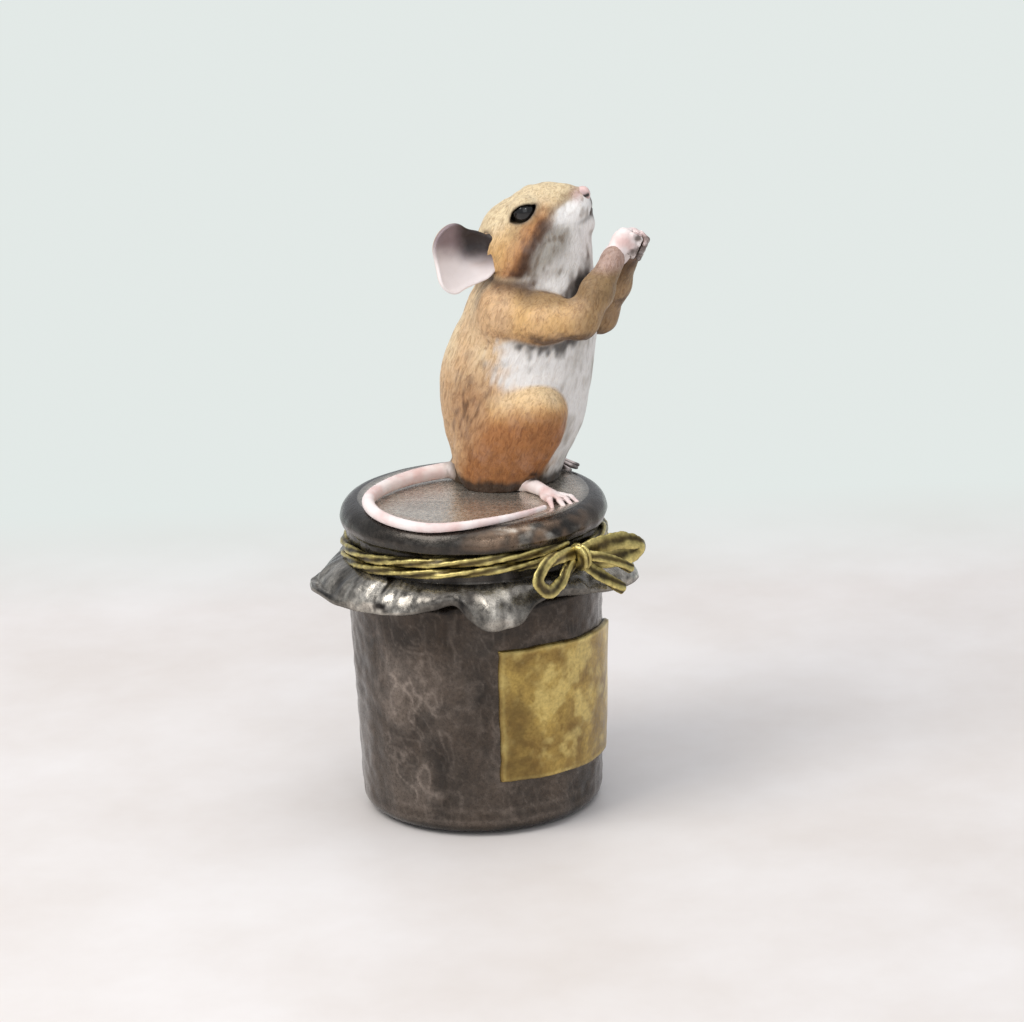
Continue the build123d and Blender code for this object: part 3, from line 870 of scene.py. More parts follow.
def hump(value, middle, half):
    """1 at the middle, falling off on both sides."""
    return np.exp(-np.square((value - middle) / half))


def head_colour(spots, patch, stroke):
    """Tan crown and cheeks with a rusty lower edge, grey throat, white whisker pads, and painted shade lines
    above the whisker pads and along the cheeks' lower edge.
    """
    along, rise, side = spots.T
    cheek = smooth_step(5.2, 0.8, rise + 1.6 * patch) * smooth_step(10.0, 6.0, along)
    colour = blend(FOREHEAD, CHEEK, cheek)
    above = rise - np.interp(along, *zip(*CHEEK_EDGE)) + 0.5 * patch + 0.5 * stroke
    back_of_pad = smooth_step(8.0, 4.5, along)
    colour = blend(colour, ORANGE, 0.8 * smooth_step(5.6, 2.0, above) * back_of_pad)
    colour = blend(colour, RUST, 0.9 * smooth_step(3.2, 0.6, above + 0.5 * stroke) * back_of_pad)
    # Painted shadow: an olive line above the whisker pad.
    colour = blend(colour, OLIVE, 0.75 * hump(above, 0.5, 1.1) * smooth_step(5.0, 7.0, along))
    colour = blend(colour, OLIVE, 0.5 * hump(along, 0.4, 1.4) * hump(rise, 2.4, 1.3))
    colour = blend(colour, BROWN, 0.6 * smooth_step(-2.0, -5.0, rise + stroke))
    bright = smooth_step(6.0, 9.5, along) + 0.6 * smooth_step(0.1, 0.7, patch)
    bright = bright + 0.5 * smooth_step(-3.0, -6.0, rise)
    throat = blend(GREY, WHITE * 0.95, np.clip(bright, 0, 1))
    throat = blend(throat, OLIVE * 0.6, 0.4 * smooth_step(0.05, 0.7, stroke))
    colour = blend(colour, throat, smooth_step(0.5, -0.5, above))
    # Painted shade: a dark brown line along the cheek's lower edge.
    colour = blend(colour, BROWN * 0.6, 0.9 * hump(above, 0.5, 1.1) * back_of_pad)
    pad = hump(along, 8.3, 1.8) * hump(rise, 0.4, 1.2)
    colour = blend(colour, WHITE, np.clip(1.5 * pad, 0, 1))
    colour = blend(colour, PINK * 0.8, 0.8 * hump(along, 11.0, 0.9) * hump(rise, 1.9, 1.0))
    front = hump(side, 0.0, 0.6) * smooth_step(10.2, 11.2, along) * smooth_step(0.5, -0.1, rise)
    lip = hump(rise, -2.0, 0.4) * smooth_step(8.4, 9.6, along)
    return blend(colour, DARK, 0.8 * np.clip(front + 0.6 * lip, 0, 1))


def arm_colour(local, patch):
    """Tan upper arms that turn olive along the top and down the forearms, with painted shade between the
    forearms.
    """
    forward, height = local[:, 1], local[:, 2]
    colour = blend(TAN, CHEEK, smooth_step(-0.4, 0.5, patch))
    colour = blend(colour, FLANK, 0.6 * smooth_step(27.0, 24.5, height))
    on_top = 0.75 * smooth_step(29.2, 31.2, height + 0.8 * patch)
    colour = blend(colour, OLIVE, on_top * smooth_step(2.0, 6.0, forward))
    colour = blend(colour, OLIVE, 0.7 * smooth_step(10.0, 15.0, forward + 2 * patch))
    # Painted shade in brown between the two forearms.
    between_forearms_shade = smooth_step(4.0, 2.0, np.abs(local[:, 0])) * smooth_step(11.0, 14.0, forward)
    colour = blend(colour, BROWN, 0.65 * between_forearms_shade)
    return blend(colour, PINK * 0.75, 0.6 * smooth_step(33.8, 36.2, height + patch))


def haunch_colour(local, patch):
    """Orange thighs with a lit top."""
    height = local[:, 2]
    colour = blend(ORANGE * 0.9, CHEEK, smooth_step(10.5, 16.0, height + 1.5 * patch))
    return blend(colour, CREAM, 0.5 * smooth_step(13.5, 17.0, height + 1.5 * patch))


def fur_paint(points, normals, names):
    """Cream and tan fur, orange haunches and cheeks, a pale belly and throat, silver bands with a painted
    sheen, painted highlights on the upper back and haunch tops, and painted shade in the folds, under the
    arms and under the head.
    """
    local = to_mouse(points)
    side, forward, height = np.abs(local[:, 0]), local[:, 1], local[:, 2]
    patch = rough(points, 4.5, 11)
    stroke = noise(along_fur(local) * [1, 1, 0.4], 0.62, 12)
    arms = np.minimum(arm_field(local, LEFT), arm_field(local, RIGHT))
    head = head_field(local)
    on_head = smooth_step(0.6, -0.6, head - np.minimum(torso_field(local), arms))
    on_arm = limb_share(local, "arm") * (1 - on_head)
    on_haunch = limb_share(local, "haunch") * (1 - on_head)

    # Cream rises with height: cream fur, with a painted highlight over the upper back.
    colour = blend(TAN, CREAM, smooth_step(-0.2, 0.9, patch + 0.07 * (height - 19) - 0.05 * forward))
    shaded = hump(forward, -4.5, 4.5) * hump(height, 12.5, 6.5) * smooth_step(2.0, 6.0, side)
    colour = blend(colour, FLANK, np.clip(1.1 * shaded + 0.5 * shaded * patch, 0, 1))
    colour = blend(colour, BROWN, 0.6 * shaded * smooth_step(0.0, 0.6, stroke + 0.4 * patch))
    behind = 0.55 * height - 7.5
    thigh = on_haunch * smooth_step(-3.5, 2.0, forward - behind + 2.0 * patch + 0.8 * stroke)
    colour = blend(colour, haunch_colour(local, patch), thigh)
    # Painted highlight in cream on the haunch's top.
    colour = blend(colour, CREAM, 0.45 * thigh * smooth_step(12.5, 16.5, height + patch))
    ahead = forward - np.interp(height, *zip(*BELLY_EDGE))
    white = smooth_step(-3.2, 1.8, ahead + 1.3 * patch + 1.6 * stroke) * (1 - on_haunch)
    pale = blend(WHITE * 0.93, GREY * 1.15, smooth_step(-0.1, 0.9, patch + 0.3 * stroke))
    colour = blend(colour, pale, white)
    high = hump(height, SILVER_HIGH + 0.5 * patch, 1.7)
    low = hump(height, SILVER_LOW + 0.4 * patch, 1.1)
    metal = white * (1 - on_arm) * (1 - on_head) * smooth_step(11.5, 8.0, forward)
    dull = hump(height, 0.5 * (SILVER_HIGH + SILVER_LOW), 1.3) * smooth_step(8.0, 4.5, forward)
    colour = blend(colour, GREY * 0.6, 0.4 * metal * dull * smooth_step(-0.4, 0.5, stroke + patch))
    # Silver bands: metallic paint, whitened as a painted sheen.
    silver_and_sheen = np.clip(metal * (high + low) * (1.0 + 0.35 * stroke), 0, 1)
    colour = blend(colour, WHITE * 1.02, silver_and_sheen)
    colour = blend(colour, arm_colour(local, patch), on_arm)
    # Painted shadow cast by the arms: a near black band on the body just below them.
    arm_shadow_band = smooth_step(2.8, 0.8, arms + 1.3 * stroke) * (1 - on_arm) * (1 - on_head)
    arm_shadow_band = arm_shadow_band * smooth_step(28.0, 26.5, height) * smooth_step(2.0, 4.0, forward)
    colour = blend(colour, DARK, 0.85 * arm_shadow_band)
    colour = blend(colour, head_colour(to_head(local), patch, stroke), on_head)

    # Painted shade on the arms' undersides, where the surface faces down.
    arm_underside_shade = on_arm * smooth_step(-0.35, -0.85, normals[:, 2] + 0.2 * stroke)
    colour = blend(colour, BROWN * 0.5, 0.8 * arm_underside_shade)
    below = (1 - on_head) * smooth_step(40.0, 33.0, height) * smooth_step(8.0, 5.0, forward)
    # Painted shade under the head: a patchy olive band, then a brown band close under it.
    neck_shade = smooth_step(7.0, 2.0, head) * smooth_step(-0.4, 0.5, stroke + patch)
    colour = blend(colour, OLIVE, 0.45 * neck_shade * below)
    under_head_shadow = smooth_step(4.2, 1.0, head + 0.7 * stroke) * below
    colour = blend(colour, BROWN * 0.7, 0.85 * under_head_shadow)
    colour = blend(colour, BROWN, 0.25 * smooth_step(0.25, 0.8, stroke) * (1 - 0.6 * white))
    # Painted shade: brown, then near black, deep in the folds.
    fold_shade = fold_shade_depth(points, normals, names) * (1 - 0.35 * on_head)
    colour = blend(colour, BROWN * 0.8, 0.7 * smooth_step(0.18, 0.6, fold_shade + 0.12 * stroke))
    colour = blend(colour, DARK, 0.85 * smooth_step(0.34, 0.85, fold_shade + 0.18 * stroke + 0.1 * patch))
    colour = blend(colour, DARK, 0.9 * smooth_step(2.9, 0.9, height + 0.7 * stroke + 1.8 * patch))
    lids = hump(eye_opening(to_head(local)), -0.1, 0.35) * smooth_step(2.0, 3.0, side) * on_head
    colour = blend(colour, DARK * 0.5, np.clip(lids, 0, 1))
    return np.column_stack([colour, 0.3 * silver_and_sheen])


def skin_paint(points, normals, names):
    """Pinkish white skin, with painted shade in the gaps and folds."""
    patch = rough(points, 2.4, 21)
    colour = blend(PALE, PINK, smooth_step(-0.5, 0.7, patch))
    # Painted shade: brown, then near black, in the gaps and folds.
    fold_shade = fold_shade_depth(points, normals, names)
    colour = blend(colour, BROWN * 0.7, 0.8 * smooth_step(0.24, 0.65, fold_shade + 0.1 * patch))
    colour = blend(colour, DARK, 0.9 * smooth_step(0.42, 0.85, fold_shade + 0.1 * patch))
    return np.column_stack([colour, np.zeros(len(points))])


def tail_paint(points, normals, names):
    """Pale skin, with painted shade where the tail leaves the body."""
    colours = skin_paint(points, normals, names)
    # Painted shade in dark olive for the first 2 mm from the body.
    root = smooth_step(2.2, 0.2, torso_field(to_mouse(points)) + 0.8 * rough(points, 1.6, 24))
    colours[:, :3] = blend(colours[:, :3], OLIVE * 0.45, 0.85 * root)
    return colours


def foot_paint(points, normals, names, hand):
    """Pale skin and dark claws."""
    colours = skin_paint(points, normals, names)
    ahead = to_foot(to_mouse(points), hand)[:, 1]
    claw = smooth_step(FOOT_LONG - 0.1, FOOT_LONG + 0.6, ahead)
    colours[:, :3] = blend(colours[:, :3], DARK, 0.8 * claw)
    return colours


def paw_paint(points, normals, names, hand):
    """White knuckles, and fingers darkened in patches by painted shade."""
    colours = skin_paint(points, normals, names)
    ahead = to_paw(to_mouse(points), hand)[:, 1]
    # Painted shade in brown over the fingers, in patches.
    finger_shade = smooth_step(0.8, 1.6, ahead) * smooth_step(-0.6, 0.3, rough(points, 1.0, 23))
    colours[:, :3] = blend(colours[:, :3], BROWN * 0.5, 0.85 * finger_shade)
    return colours


def ear_paint(points, normals, names, hand):
    """Inside, pale pink with painted shade: dark mauve in the upper hollow and near black beside the head;
    tan on the back.
    """
    out, back, up = to_ear(to_mouse(points), hand).T
    patch = rough(points, 2.5, 31)
    front = smooth_step(-0.5, -0.15, out - ear_bowl(back, up))
    # Painted shade: the hollow darkens from pale pink below to mauve above.
    shade = smooth_step(-2.2, 2.2, up - 0.3 * back + 0.6 * patch)
    inside = blend(PALE, MAUVE, shade)
    # Painted shadow: near black deep in the hollow beside the head.
    deep = smooth_step(-0.4, 2.8, -back + 0.25 * up) * smooth_step(-2.4, 0.8, up)
    inside = blend(inside, DARK, 0.92 * deep)
    behind = blend(TAN, BROWN, smooth_step(0.0, 0.9, patch))
    colour = blend(behind, inside, front)
    # Painted shade: near black deep in the ear's folds.
    fold_shade = fold_shade_depth(points, normals, names)
    colour = blend(colour, DARK, 0.8 * smooth_step(0.6, 1.0, fold_shade))
    return np.column_stack([colour, np.zeros(len(points))])


def nose_paint(points, normals, names):
    """Pink skin and dark nostrils; it takes the same arguments as the other paints."""
    spots = to_head(to_mouse(points))
    colour = np.tile(PINK, (len(points), 1))
    wide = np.abs(spots[:, 2])
    colour = blend(colour, MAUVE, 0.5 * smooth_step(0.6, 1.2, wide))
    slit = 1.15 + 0.33 * (11.4 - spots[:, 0])
    nostril = hump(spots[:, 1], slit, 0.3) * smooth_step(0.35, 0.75, wide)
    colour = blend(colour, DARK, np.clip(1.2 * nostril, 0, 1))
    return np.column_stack([colour, np.zeros(len(points))])


# Materials
class Shader:
    """A node material, built one node at a time around a Principled BSDF."""

    def __init__(self, name):
        self.material = bpy.data.materials.new(name)
        self.material.use_nodes = True
        self.tree = self.material.node_tree
        self.surface = self.tree.nodes["Principled BSDF"]

    def node(self, kind, inputs, **settings):
        made = self.tree.nodes.new(kind)
        for key, value in settings.items():
            setattr(made, key, value)
        for key, value in inputs.items():
            self.plug(made.inputs[key], value)
        return made

    def plug(self, socket, value):
        if isinstance(value, bpy.types.NodeSocket):
            self.tree.links.new(value, socket)
        else:
            socket.default_value = value

    def coat(self, **inputs):
        names = {"base": "Base Color", "metal": "Metallic", "rough": "Roughness", "normal": "Normal",
                 "specular": "Specular IOR Level", "coat": "Coat Weight", "coat_rough": "Coat Roughness",
                 "sheen": "Sheen Weight"}
        for key, value in inputs.items():
            self.plug(self.surface.inputs[names[key]], value)

    def place(self, stretch=(1, 1, 1), lean=0.0):
        """Millimetre coordinates, leaned about X and then scaled by stretch."""
        spot = self.node("ShaderNodeTexCoord", {}).outputs["Object"]
        if lean:
            spot = self.node("ShaderNodeMapping", {"Vector": spot, "Rotation": (lean, 0, 0)}).outputs[0]
        size = tuple(share / MM for share in stretch)
        return self.node("ShaderNodeMapping", {"Vector": spot, "Scale": size}).outputs[0]

    def noise(self, spot, scale, detail=4.0, rough=0.55, warp=0.0):
        inputs = {"Vector": spot, "Scale": scale, "Detail": detail, "Roughness": rough, "Distortion": warp}
        return self.node("ShaderNodeTexNoise", inputs).outputs["Fac"]

    def ramp(self, value, low, high, start=0.0, end=1.0):
        inputs = {"Value": value, "From Min": low, "From Max": high, "To Min": start, "To Max": end}
        return self.node("ShaderNodeMapRange", inputs).outputs[0]

    def mix(self, share, first, second, kind="MIX"):
        made = self.node("ShaderNodeMix", {}, data_type="RGBA", blend_type=kind)
        self.plug(made.inputs[0], share)
        self.plug(made.inputs[6], first)
        self.plug(made.inputs[7], second)
        return made.outputs[2]

    def combine(self, first, second, kind):
        made = self.node("ShaderNodeMath", {}, operation=kind)
        self.plug(made.inputs[0], first)
        self.plug(made.inputs[1], second)
        return made.outputs[0]

    def bump(self, height, strength, distance, under=None):
        inputs = {"Height": height, "Strength": strength, "Distance": distance}
        if under is not None:
            inputs["Normal"] = under
        return self.node("ShaderNodeBump", inputs).outputs[0]


def rgb(colour):
    """A colour as red, green, blue and full alpha."""
    return (*[float(part) for part in colour], 1.0)


def painted(name, stroke_scale, stroke_stretch, stroke_dark, roughness, depth):
    """Brushed paint over chased metal: the mesh's paint, varied by strokes."""
    shader = Shader(name)
    paint = shader.node("ShaderNodeVertexColor", {}, layer_name="paint")
    hairs = shader.place(stroke_stretch, -FUR_LEAN)
    strokes = shader.noise(hairs, stroke_scale, 6.0, 0.65, 1.0)
    lights = shader.noise(hairs, 1.9 * stroke_scale, 4.0, 0.6, 0.8)
    fine = shader.noise(shader.place(), 2.6, 3.0, 0.6)
    dry = shader.noise(shader.place(), 0.28, 4.0, 0.6)
    hue = shader.node("ShaderNodeSeparateColor", {"Color": paint.outputs["Color"]}, mode="HSV")
    on_colour = shader.ramp(hue.outputs[1], 0.08, 0.4, 0.35, 1.0)
    shade = shader.combine(shader.ramp(strokes, 0.44, 0.70, 0.0, stroke_dark), on_colour, "MULTIPLY")
    colour = shader.mix(shade, paint.outputs["Color"], rgb(STROKE), "MULTIPLY")
    lit = shader.ramp(lights, 0.52, 0.72, 0.0, 0.5 * stroke_dark)
    colour = shader.mix(lit, colour, rgb(CREAM), "SOFT_LIGHT")
    colour = shader.mix(shader.ramp(dry, 0.5, 0.72, 0.0, 0.06), colour, rgb(WHITE), "SCREEN")
    normal = shader.bump(strokes, 0.7, depth * MM)
    normal = shader.bump(fine, 0.25, 0.06 * MM, normal)
    gloss = shader.ramp(fine, 0.3, 0.7, roughness - 0.08, roughness + 0.1)
    shader.coat(base=colour, rough=gloss, normal=normal, metal=paint.outputs["Alpha"], specular=0.35)
    return shader.material


def eye_gloss():
    """Dark enamel under a clear coat."""
    shader = Shader("eye_enamel")
    cloud = shader.noise(shader.place(), 0.8, 3.0)
    colour = shader.mix(shader.ramp(cloud, 0.4, 0.7), rgb(EYE_DARK), rgb(EYE_LIGHT))
    shader.coat(base=colour, rough=0.3, specular=0.1, coat=1.0, coat_rough=0.03)
    return shader.material


def bronze(name, dark, light, bright, low_rough, high_rough, metal):
    """Patinated bronze: the mesh's paint says where it is bright (rubbed metal and painted highlights),
    where dark (patina and painted shade), and where warm brown (partly a painted sheen).
    """
    dark, light, bright = linear(*dark), linear(*light), linear(*bright)
    shader = Shader(name)
    paint = shader.node("ShaderNodeVertexColor", {}, layer_name="paint")
    wear_and_sheen = shader.node("ShaderNodeSeparateColor", {"Color": paint.outputs["Color"]})
    cloud = shader.noise(shader.place(), 0.16, 6.0, 0.62, 0.6)
    grain = shader.noise(shader.place(), 1.7, 5.0, 0.65)
    colour = shader.mix(shader.ramp(cloud, 0.35, 0.68), rgb(dark), rgb(light))
    colour = shader.mix(shader.ramp(grain, 0.32, 0.6, 0.5, 0.0), colour, rgb(dark * 0.6))
    colour = shader.mix(wear_and_sheen.outputs["Blue"], colour, rgb(WARM))
    rubbed_and_sheen = shader.combine(wear_and_sheen.outputs["Red"], shader.ramp(grain, 0.3, 0.7, 0.55, 1.25), "MULTIPLY")
    colour = shader.mix(rubbed_and_sheen, colour, rgb(bright))
    colour = shader.mix(wear_and_sheen.outputs["Green"], colour, rgb(dark * 0.25))
    normal = shader.bump(cloud, 0.35, 0.5 * MM)
    normal = shader.bump(grain, 0.35, 0.12 * MM, normal)
    gloss = shader.ramp(grain, 0.3, 0.7, low_rough, high_rough)
    shader.coat(base=colour, metal=metal, rough=gloss, normal=normal, coat=0.25, coat_rough=0.2)
    return shader.material


def plain_metal(name, colour, roughness):
    """Bare metal with fine streaks."""
    shader = Shader(name)
    streak = shader.noise(shader.place((1, 1, 0.15)), 3.0, 4.0)
    tint = shader.mix(shader.ramp(streak, 0.3, 0.7), rgb(colour * 0.75), rgb(colour))
    shader.coat(base=tint, metal=1.0, rough=shader.ramp(streak, 0.3, 0.7, roughness, roughness + 0.15),
                normal=shader.bump(streak, 0.2, 0.05 * MM))
    return shader.material


def felt():
    """Dark felt with short fibres."""
    shader = Shader("felt")
    fibre = shader.noise(shader.place(), 4.0, 5.0, 0.7, 1.0)
    tint = shader.mix(shader.ramp(fibre, 0.3, 0.7), rgb(FELT_DARK), rgb(FELT_LIGHT))
    shader.coat(base=tint, rough=0.95, sheen=0.4, normal=shader.bump(fibre, 0.8, 0.2 * MM))
    return shader.material


# Bronzes: dark, light and bright colour (rubbed metal and painted highlights) as on a screen, lowest and
# highest roughness, and metal
BRONZES = {
    "jar_bronze": ((0.115, 0.092, 0.068), (0.26, 0.21, 0.165), (0.60, 0.55, 0.51), 0.2, 0.36, 0.75),
    "cover_bronze": ((0.105, 0.09, 0.08), (0.22, 0.19, 0.165), (0.90, 0.87, 0.82), 0.18, 0.36, 0.8),
    "gilt_bronze": ((0.53, 0.42, 0.21), (0.82, 0.70, 0.38), (0.97, 0.89, 0.58), 0.28, 0.46, 0.8),
    "cord_bronze": ((0.26, 0.22, 0.12), (0.55, 0.47, 0.25), (0.95, 0.88, 0.56), 0.28, 0.46, 0.8),
}
fur_look = painted(
    "fur_paint",
    stroke_scale=1.9,
    stroke_stretch=(1.0, 1.0, 0.34),
    stroke_dark=0.75,
    roughness=0.46,
    depth=0.24,
)
skin_look = painted(
    "pale_paint",
    stroke_scale=0.5,
    stroke_stretch=(1.0, 1.0, 1.0),
    stroke_dark=0.2,
    roughness=0.42,
    depth=0.05,
)
eye_look = eye_gloss()
jar_look, cover_look, gilt_look, cord_look = (bronze(name, *values) for name, values in BRONZES.items())
steel_look = plain_metal("steel", STEEL, 0.3)
brass_look = plain_metal("base_brass", BRASS, 0.35)
felt_look = felt()


def dress(piece, look, slot, *nodes):
    """Give a piece its material and its place in the part."""
    piece.data.materials.append(look)
    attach(piece, "root")
    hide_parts(*nodes)


# Mouse pieces
ROOM = 2.2
HAUNCH_ROOM = 5.0


def mouse_piece(name, paint, look, slot, step, room=ROOM):
    """One piece of the mouse, meshed within its solid's box and some room around it."""
    field = piece_field(name)
    low, high = (np.array(corner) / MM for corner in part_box(name))
    vertices, faces = skin(field, low - room, high + room, step)
    slope = slopes(field, vertices)
    normals = slope / np.maximum(np.linalg.norm(slope, axis=1, keepdims=True), 1e-6)
    names = [name] + neighbours(name)
    piece = make_piece(name + "_look", vertices, faces, paint(vertices, normals, names))
    dress(piece, look, slot, name)


mouse_piece("mouse_torso", fur_paint, fur_look, "fur_paint", 0.27)
mouse_piece("mouse_head", fur_paint, fur_look, "fur_paint", 0.18)
mouse_piece("nose_tip", nose_paint, skin_look, "pale_paint", 0.12)
mouse_piece("tail", tail_paint, skin_look, "pale_paint", 0.28)
for word, hand in SIDES:
    mouse_piece("ear_" + word, partial(ear_paint, hand=hand), skin_look, "pale_paint", 0.2)
    mouse_piece("arm_" + word, fur_paint, fur_look, "fur_paint", 0.26)
    mouse_piece("paw_" + word, partial(paw_paint, hand=hand), skin_look, "pale_paint", 0.15)
    mouse_piece("haunch_" + word, fur_paint, fur_look, "fur_paint", 0.3, HAUNCH_ROOM)
    mouse_piece("hind_foot_" + word, partial(foot_paint, hand=hand), skin_look, "pale_paint", 0.17)


# Jar, cover, string, bow and label
def frame_look(name, look):
    """Keep a CAD node and give it a material."""
    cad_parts[name].data.materials.clear()
    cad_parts[name].data.materials.append(look)


for name in ("fixing_stud", "fixing_washer", "fixing_nut", "neck_dowel"):
    frame_look(name, steel_look)
frame_look("base_plate", brass_look)
frame_look("felt_pad", felt_look)
frame_look("eye_left", eye_look)
frame_look("eye_right", eye_look)


def jar_wall_r(z):
    """Outer radius of the jar's tapered wall."""
    low = FOOT_CLEAR + FOOT_ROUND
    return FOOT_R + (SHOULDER_R - FOOT_R) * (z - low) / (SHOULDER_Z - low)


def jar_lumps(azimuth, z):
    """The hand-modelled wall: long upright lumps and small dents."""
    spots = around(azimuth, SHOULDER_R, z).reshape(-1, 3)
    long_lumps = noise(spots * [1, 1, 0.3], 3.4, 41)
    broad = noise(spots * [1, 1, 0.6], 9.0, 42)
    dents = noise(spots, 1.5, 43)
    return (0.22 * long_lumps + 0.22 * broad + 0.10 * dents).reshape(np.shape(azimuth))


def wear_and_sheen_colours(wear_and_sheen, dark, warm=0.0):
    """Vertex colours for the bronzes: red is bright (rubbed metal and painted highlights), green is dark
    (patina and painted shade), blue is warm brown (partly a painted sheen).
    """
    flat = np.zeros((wear_and_sheen.size, 4))
    flat[:, 0] = np.clip(wear_and_sheen, 0, 1).ravel()
    flat[:, 1] = np.clip(dark, 0, 1).ravel()
    flat[:, 2] = np.clip(warm, 0, 1)
    flat[:, 3] = 1
    return flat


def jar_piece():
    """The jar as one turned skin with an uneven wall, hollow underneath."""
    profile = list(JAR_NECK)
    for z in np.linspace(SHOULDER_Z, FOOT_CLEAR + FOOT_ROUND, 90):
        profile.append((jar_wall_r(z), z))
    for turn in np.linspace(0.15, 1.0, 8) * math.pi / 2:
        inset = FOOT_ROUND * (1 - math.cos(turn))
        profile.append((FOOT_R - inset, FOOT_CLEAR + FOOT_ROUND * (1 - math.sin(turn))))
    profile += JAR_INSIDE
    radius, z = np.array(profile).T[:, :, None]
    azimuth = np.linspace(0, 360, 480, endpoint=False)[None, :]
    radius, z, azimuth = np.broadcast_arrays(radius, z, azimuth)
    wall = slice(len(JAR_NECK) - 1, -len(JAR_INSIDE))
    outer = np.zeros_like(z)
    outer[wall] = smooth_step(FOOT_CLEAR, 4.0, z[wall]) * smooth_step(39.5, 36.0, z[wall])
    lumps = jar_lumps(azimuth, z)
    points = around(azimuth, radius + outer * lumps, z)
    spots = points.reshape(-1, 3)
    sway = np.stack([noise(spots, 3.2, seed) for seed in (46, 47, 48)], axis=1)
    veins = hump(noise((spots + 2.2 * sway) * [1, 1, 0.5], 2.4, 44), 0.0, 0.10).reshape(z.shape)
    compass = (azimuth + 180) % 360 - 180
    # A painted reflection in a band down the jar; it also brightens the lumps there and lightens their dark
    # hollows.
    rubbed_and_sheen = hump(compass, *JAR_SHEEN) * smooth_step(2.5, 7.0, z) * smooth_step(33.0, 25.0, z)
    squiggles = hump(noise((spots + 1.2 * sway) * [1, 1, 0.7], 1.2, 45), 0.0, 0.08).reshape(z.shape)
    foot = hump(z, 2.4, 0.5) + 0.4 * hump(z, 4.5, 0.4)
    wear_and_sheen = 0.04 + 0.35 * lumps + 0.14 * veins + 0.1 * squiggles
    wear_and_sheen = wear_and_sheen + rubbed_and_sheen * (0.3 + 0.8 * lumps + 0.3 * veins + 0.12 * squiggles)
    wear_and_sheen = outer * (wear_and_sheen + 0.12 * smooth_step(24.0, 8.0, z)) + 0.25 * foot
    dark = outer * smooth_step(0.05, 0.4, -lumps) * 0.5 * (1 - rubbed_and_sheen)
    faces = sheet_grid(points, True, True)
    piece = make_piece("jar_look", points.reshape(-1, 3), faces, wear_and_sheen_colours(wear_and_sheen, dark))
    dress(piece, jar_look, "jar_bronze", "jar_shell")


# Hem of the cloth: azimuth, reach past the groove, drop below the skirt's top, and how far it curls up
HEM = (
    (-180, 3.4, 3.4, 0.0),
    (-166, 5.2, 4.0, 1.2),
    (-154, 5.3, 4.4, 1.4),
    (-141, 4.3, 4.2, 0.4),
    (-128, 3.8, 3.7, 0.0),
    (-116, 3.7, 3.2, 0.0),
    (-106, 3.9, 2.6, 0.0),
    (-97, 3.1, 1.8, 0.0),
    (-89, 2.1, 1.3, 0.0),
    (-83, 3.2, 3.3, 0.0),
    (-77, 4.3, 4.7, 0.0),
    (-70, 4.3, 4.7, 0.0),
    (-63, 3.8, 4.1, 0.0),
    (-56, 2.5, 1.9, 0.0),
    (-46, 2.6, 1.4, 0.0),
    (-33, 3.8, 2.0, 0.0),
    (-18, 5.3, 2.7, 0.0),
    (-4, 6.0, 3.2, 0.3),
    (9, 5.0, 3.6, 0.0),
    (24, 3.4, 2.2, 0.0),
    (40, 4.4, 4.2, 0.0),
    (57, 2.9, 2.0, 0.0),
    (74, 4.5, 4.3, 0.3),
    (92, 3.0, 2.2, 0.0),
    (110, 4.6, 4.4, 0.0),
    (128, 2.9, 2.0, 0.0),
    (146, 4.4, 4.2, 0.4),
    (164, 3.1, 2.6, 0.0),
)
SKIRT_TOP = 40.6
SKIRT_START = 41.5
SKIRT_FLARE = 2.4

# Rolled edge: how far it turns in radians, how far it sits below the top, and where it ends
ROLL_TURN = 1.9
ROLL_SUNK = 0.12
ROLL_FOOT_R = CROWN_R - 0.9
ROLL_FOOT_Z = 46.2

# Inside of the cloth: how far in from the drape, the lower end at the neck, and the gaps to the jar
CLOTH_IN = 0.75
CLOTH_FOOT_Z = 40.5
NECK_GAP = 0.1
TOP_GAP = 0.05

# Painted highlights on the skirt, with rubbed streaks in them: azimuth, half width and share
SKIRT_LIT = (
    (-122, 15, 1.0),
    (-70, 8, 0.55),
    (-12, 22, 0.6),
    (-158, 9, 0.5),
)


def hem_at(azimuth):
    """Radius, height and curl of the hem at each azimuth."""
    rows = np.array([*HEM, (HEM[0][0] + 360, *HEM[0][1:])], float)
    dense = smooth_curve(rows, DENSE * len(rows))
    wrapped = (azimuth + 180) % 360 - 180
    reach, drop, curl = (np.interp(wrapped, dense[:, 0], dense[:, n]) for n in (1, 2, 3))
    return GROOVE_R + reach, SKIRT_TOP - drop, curl


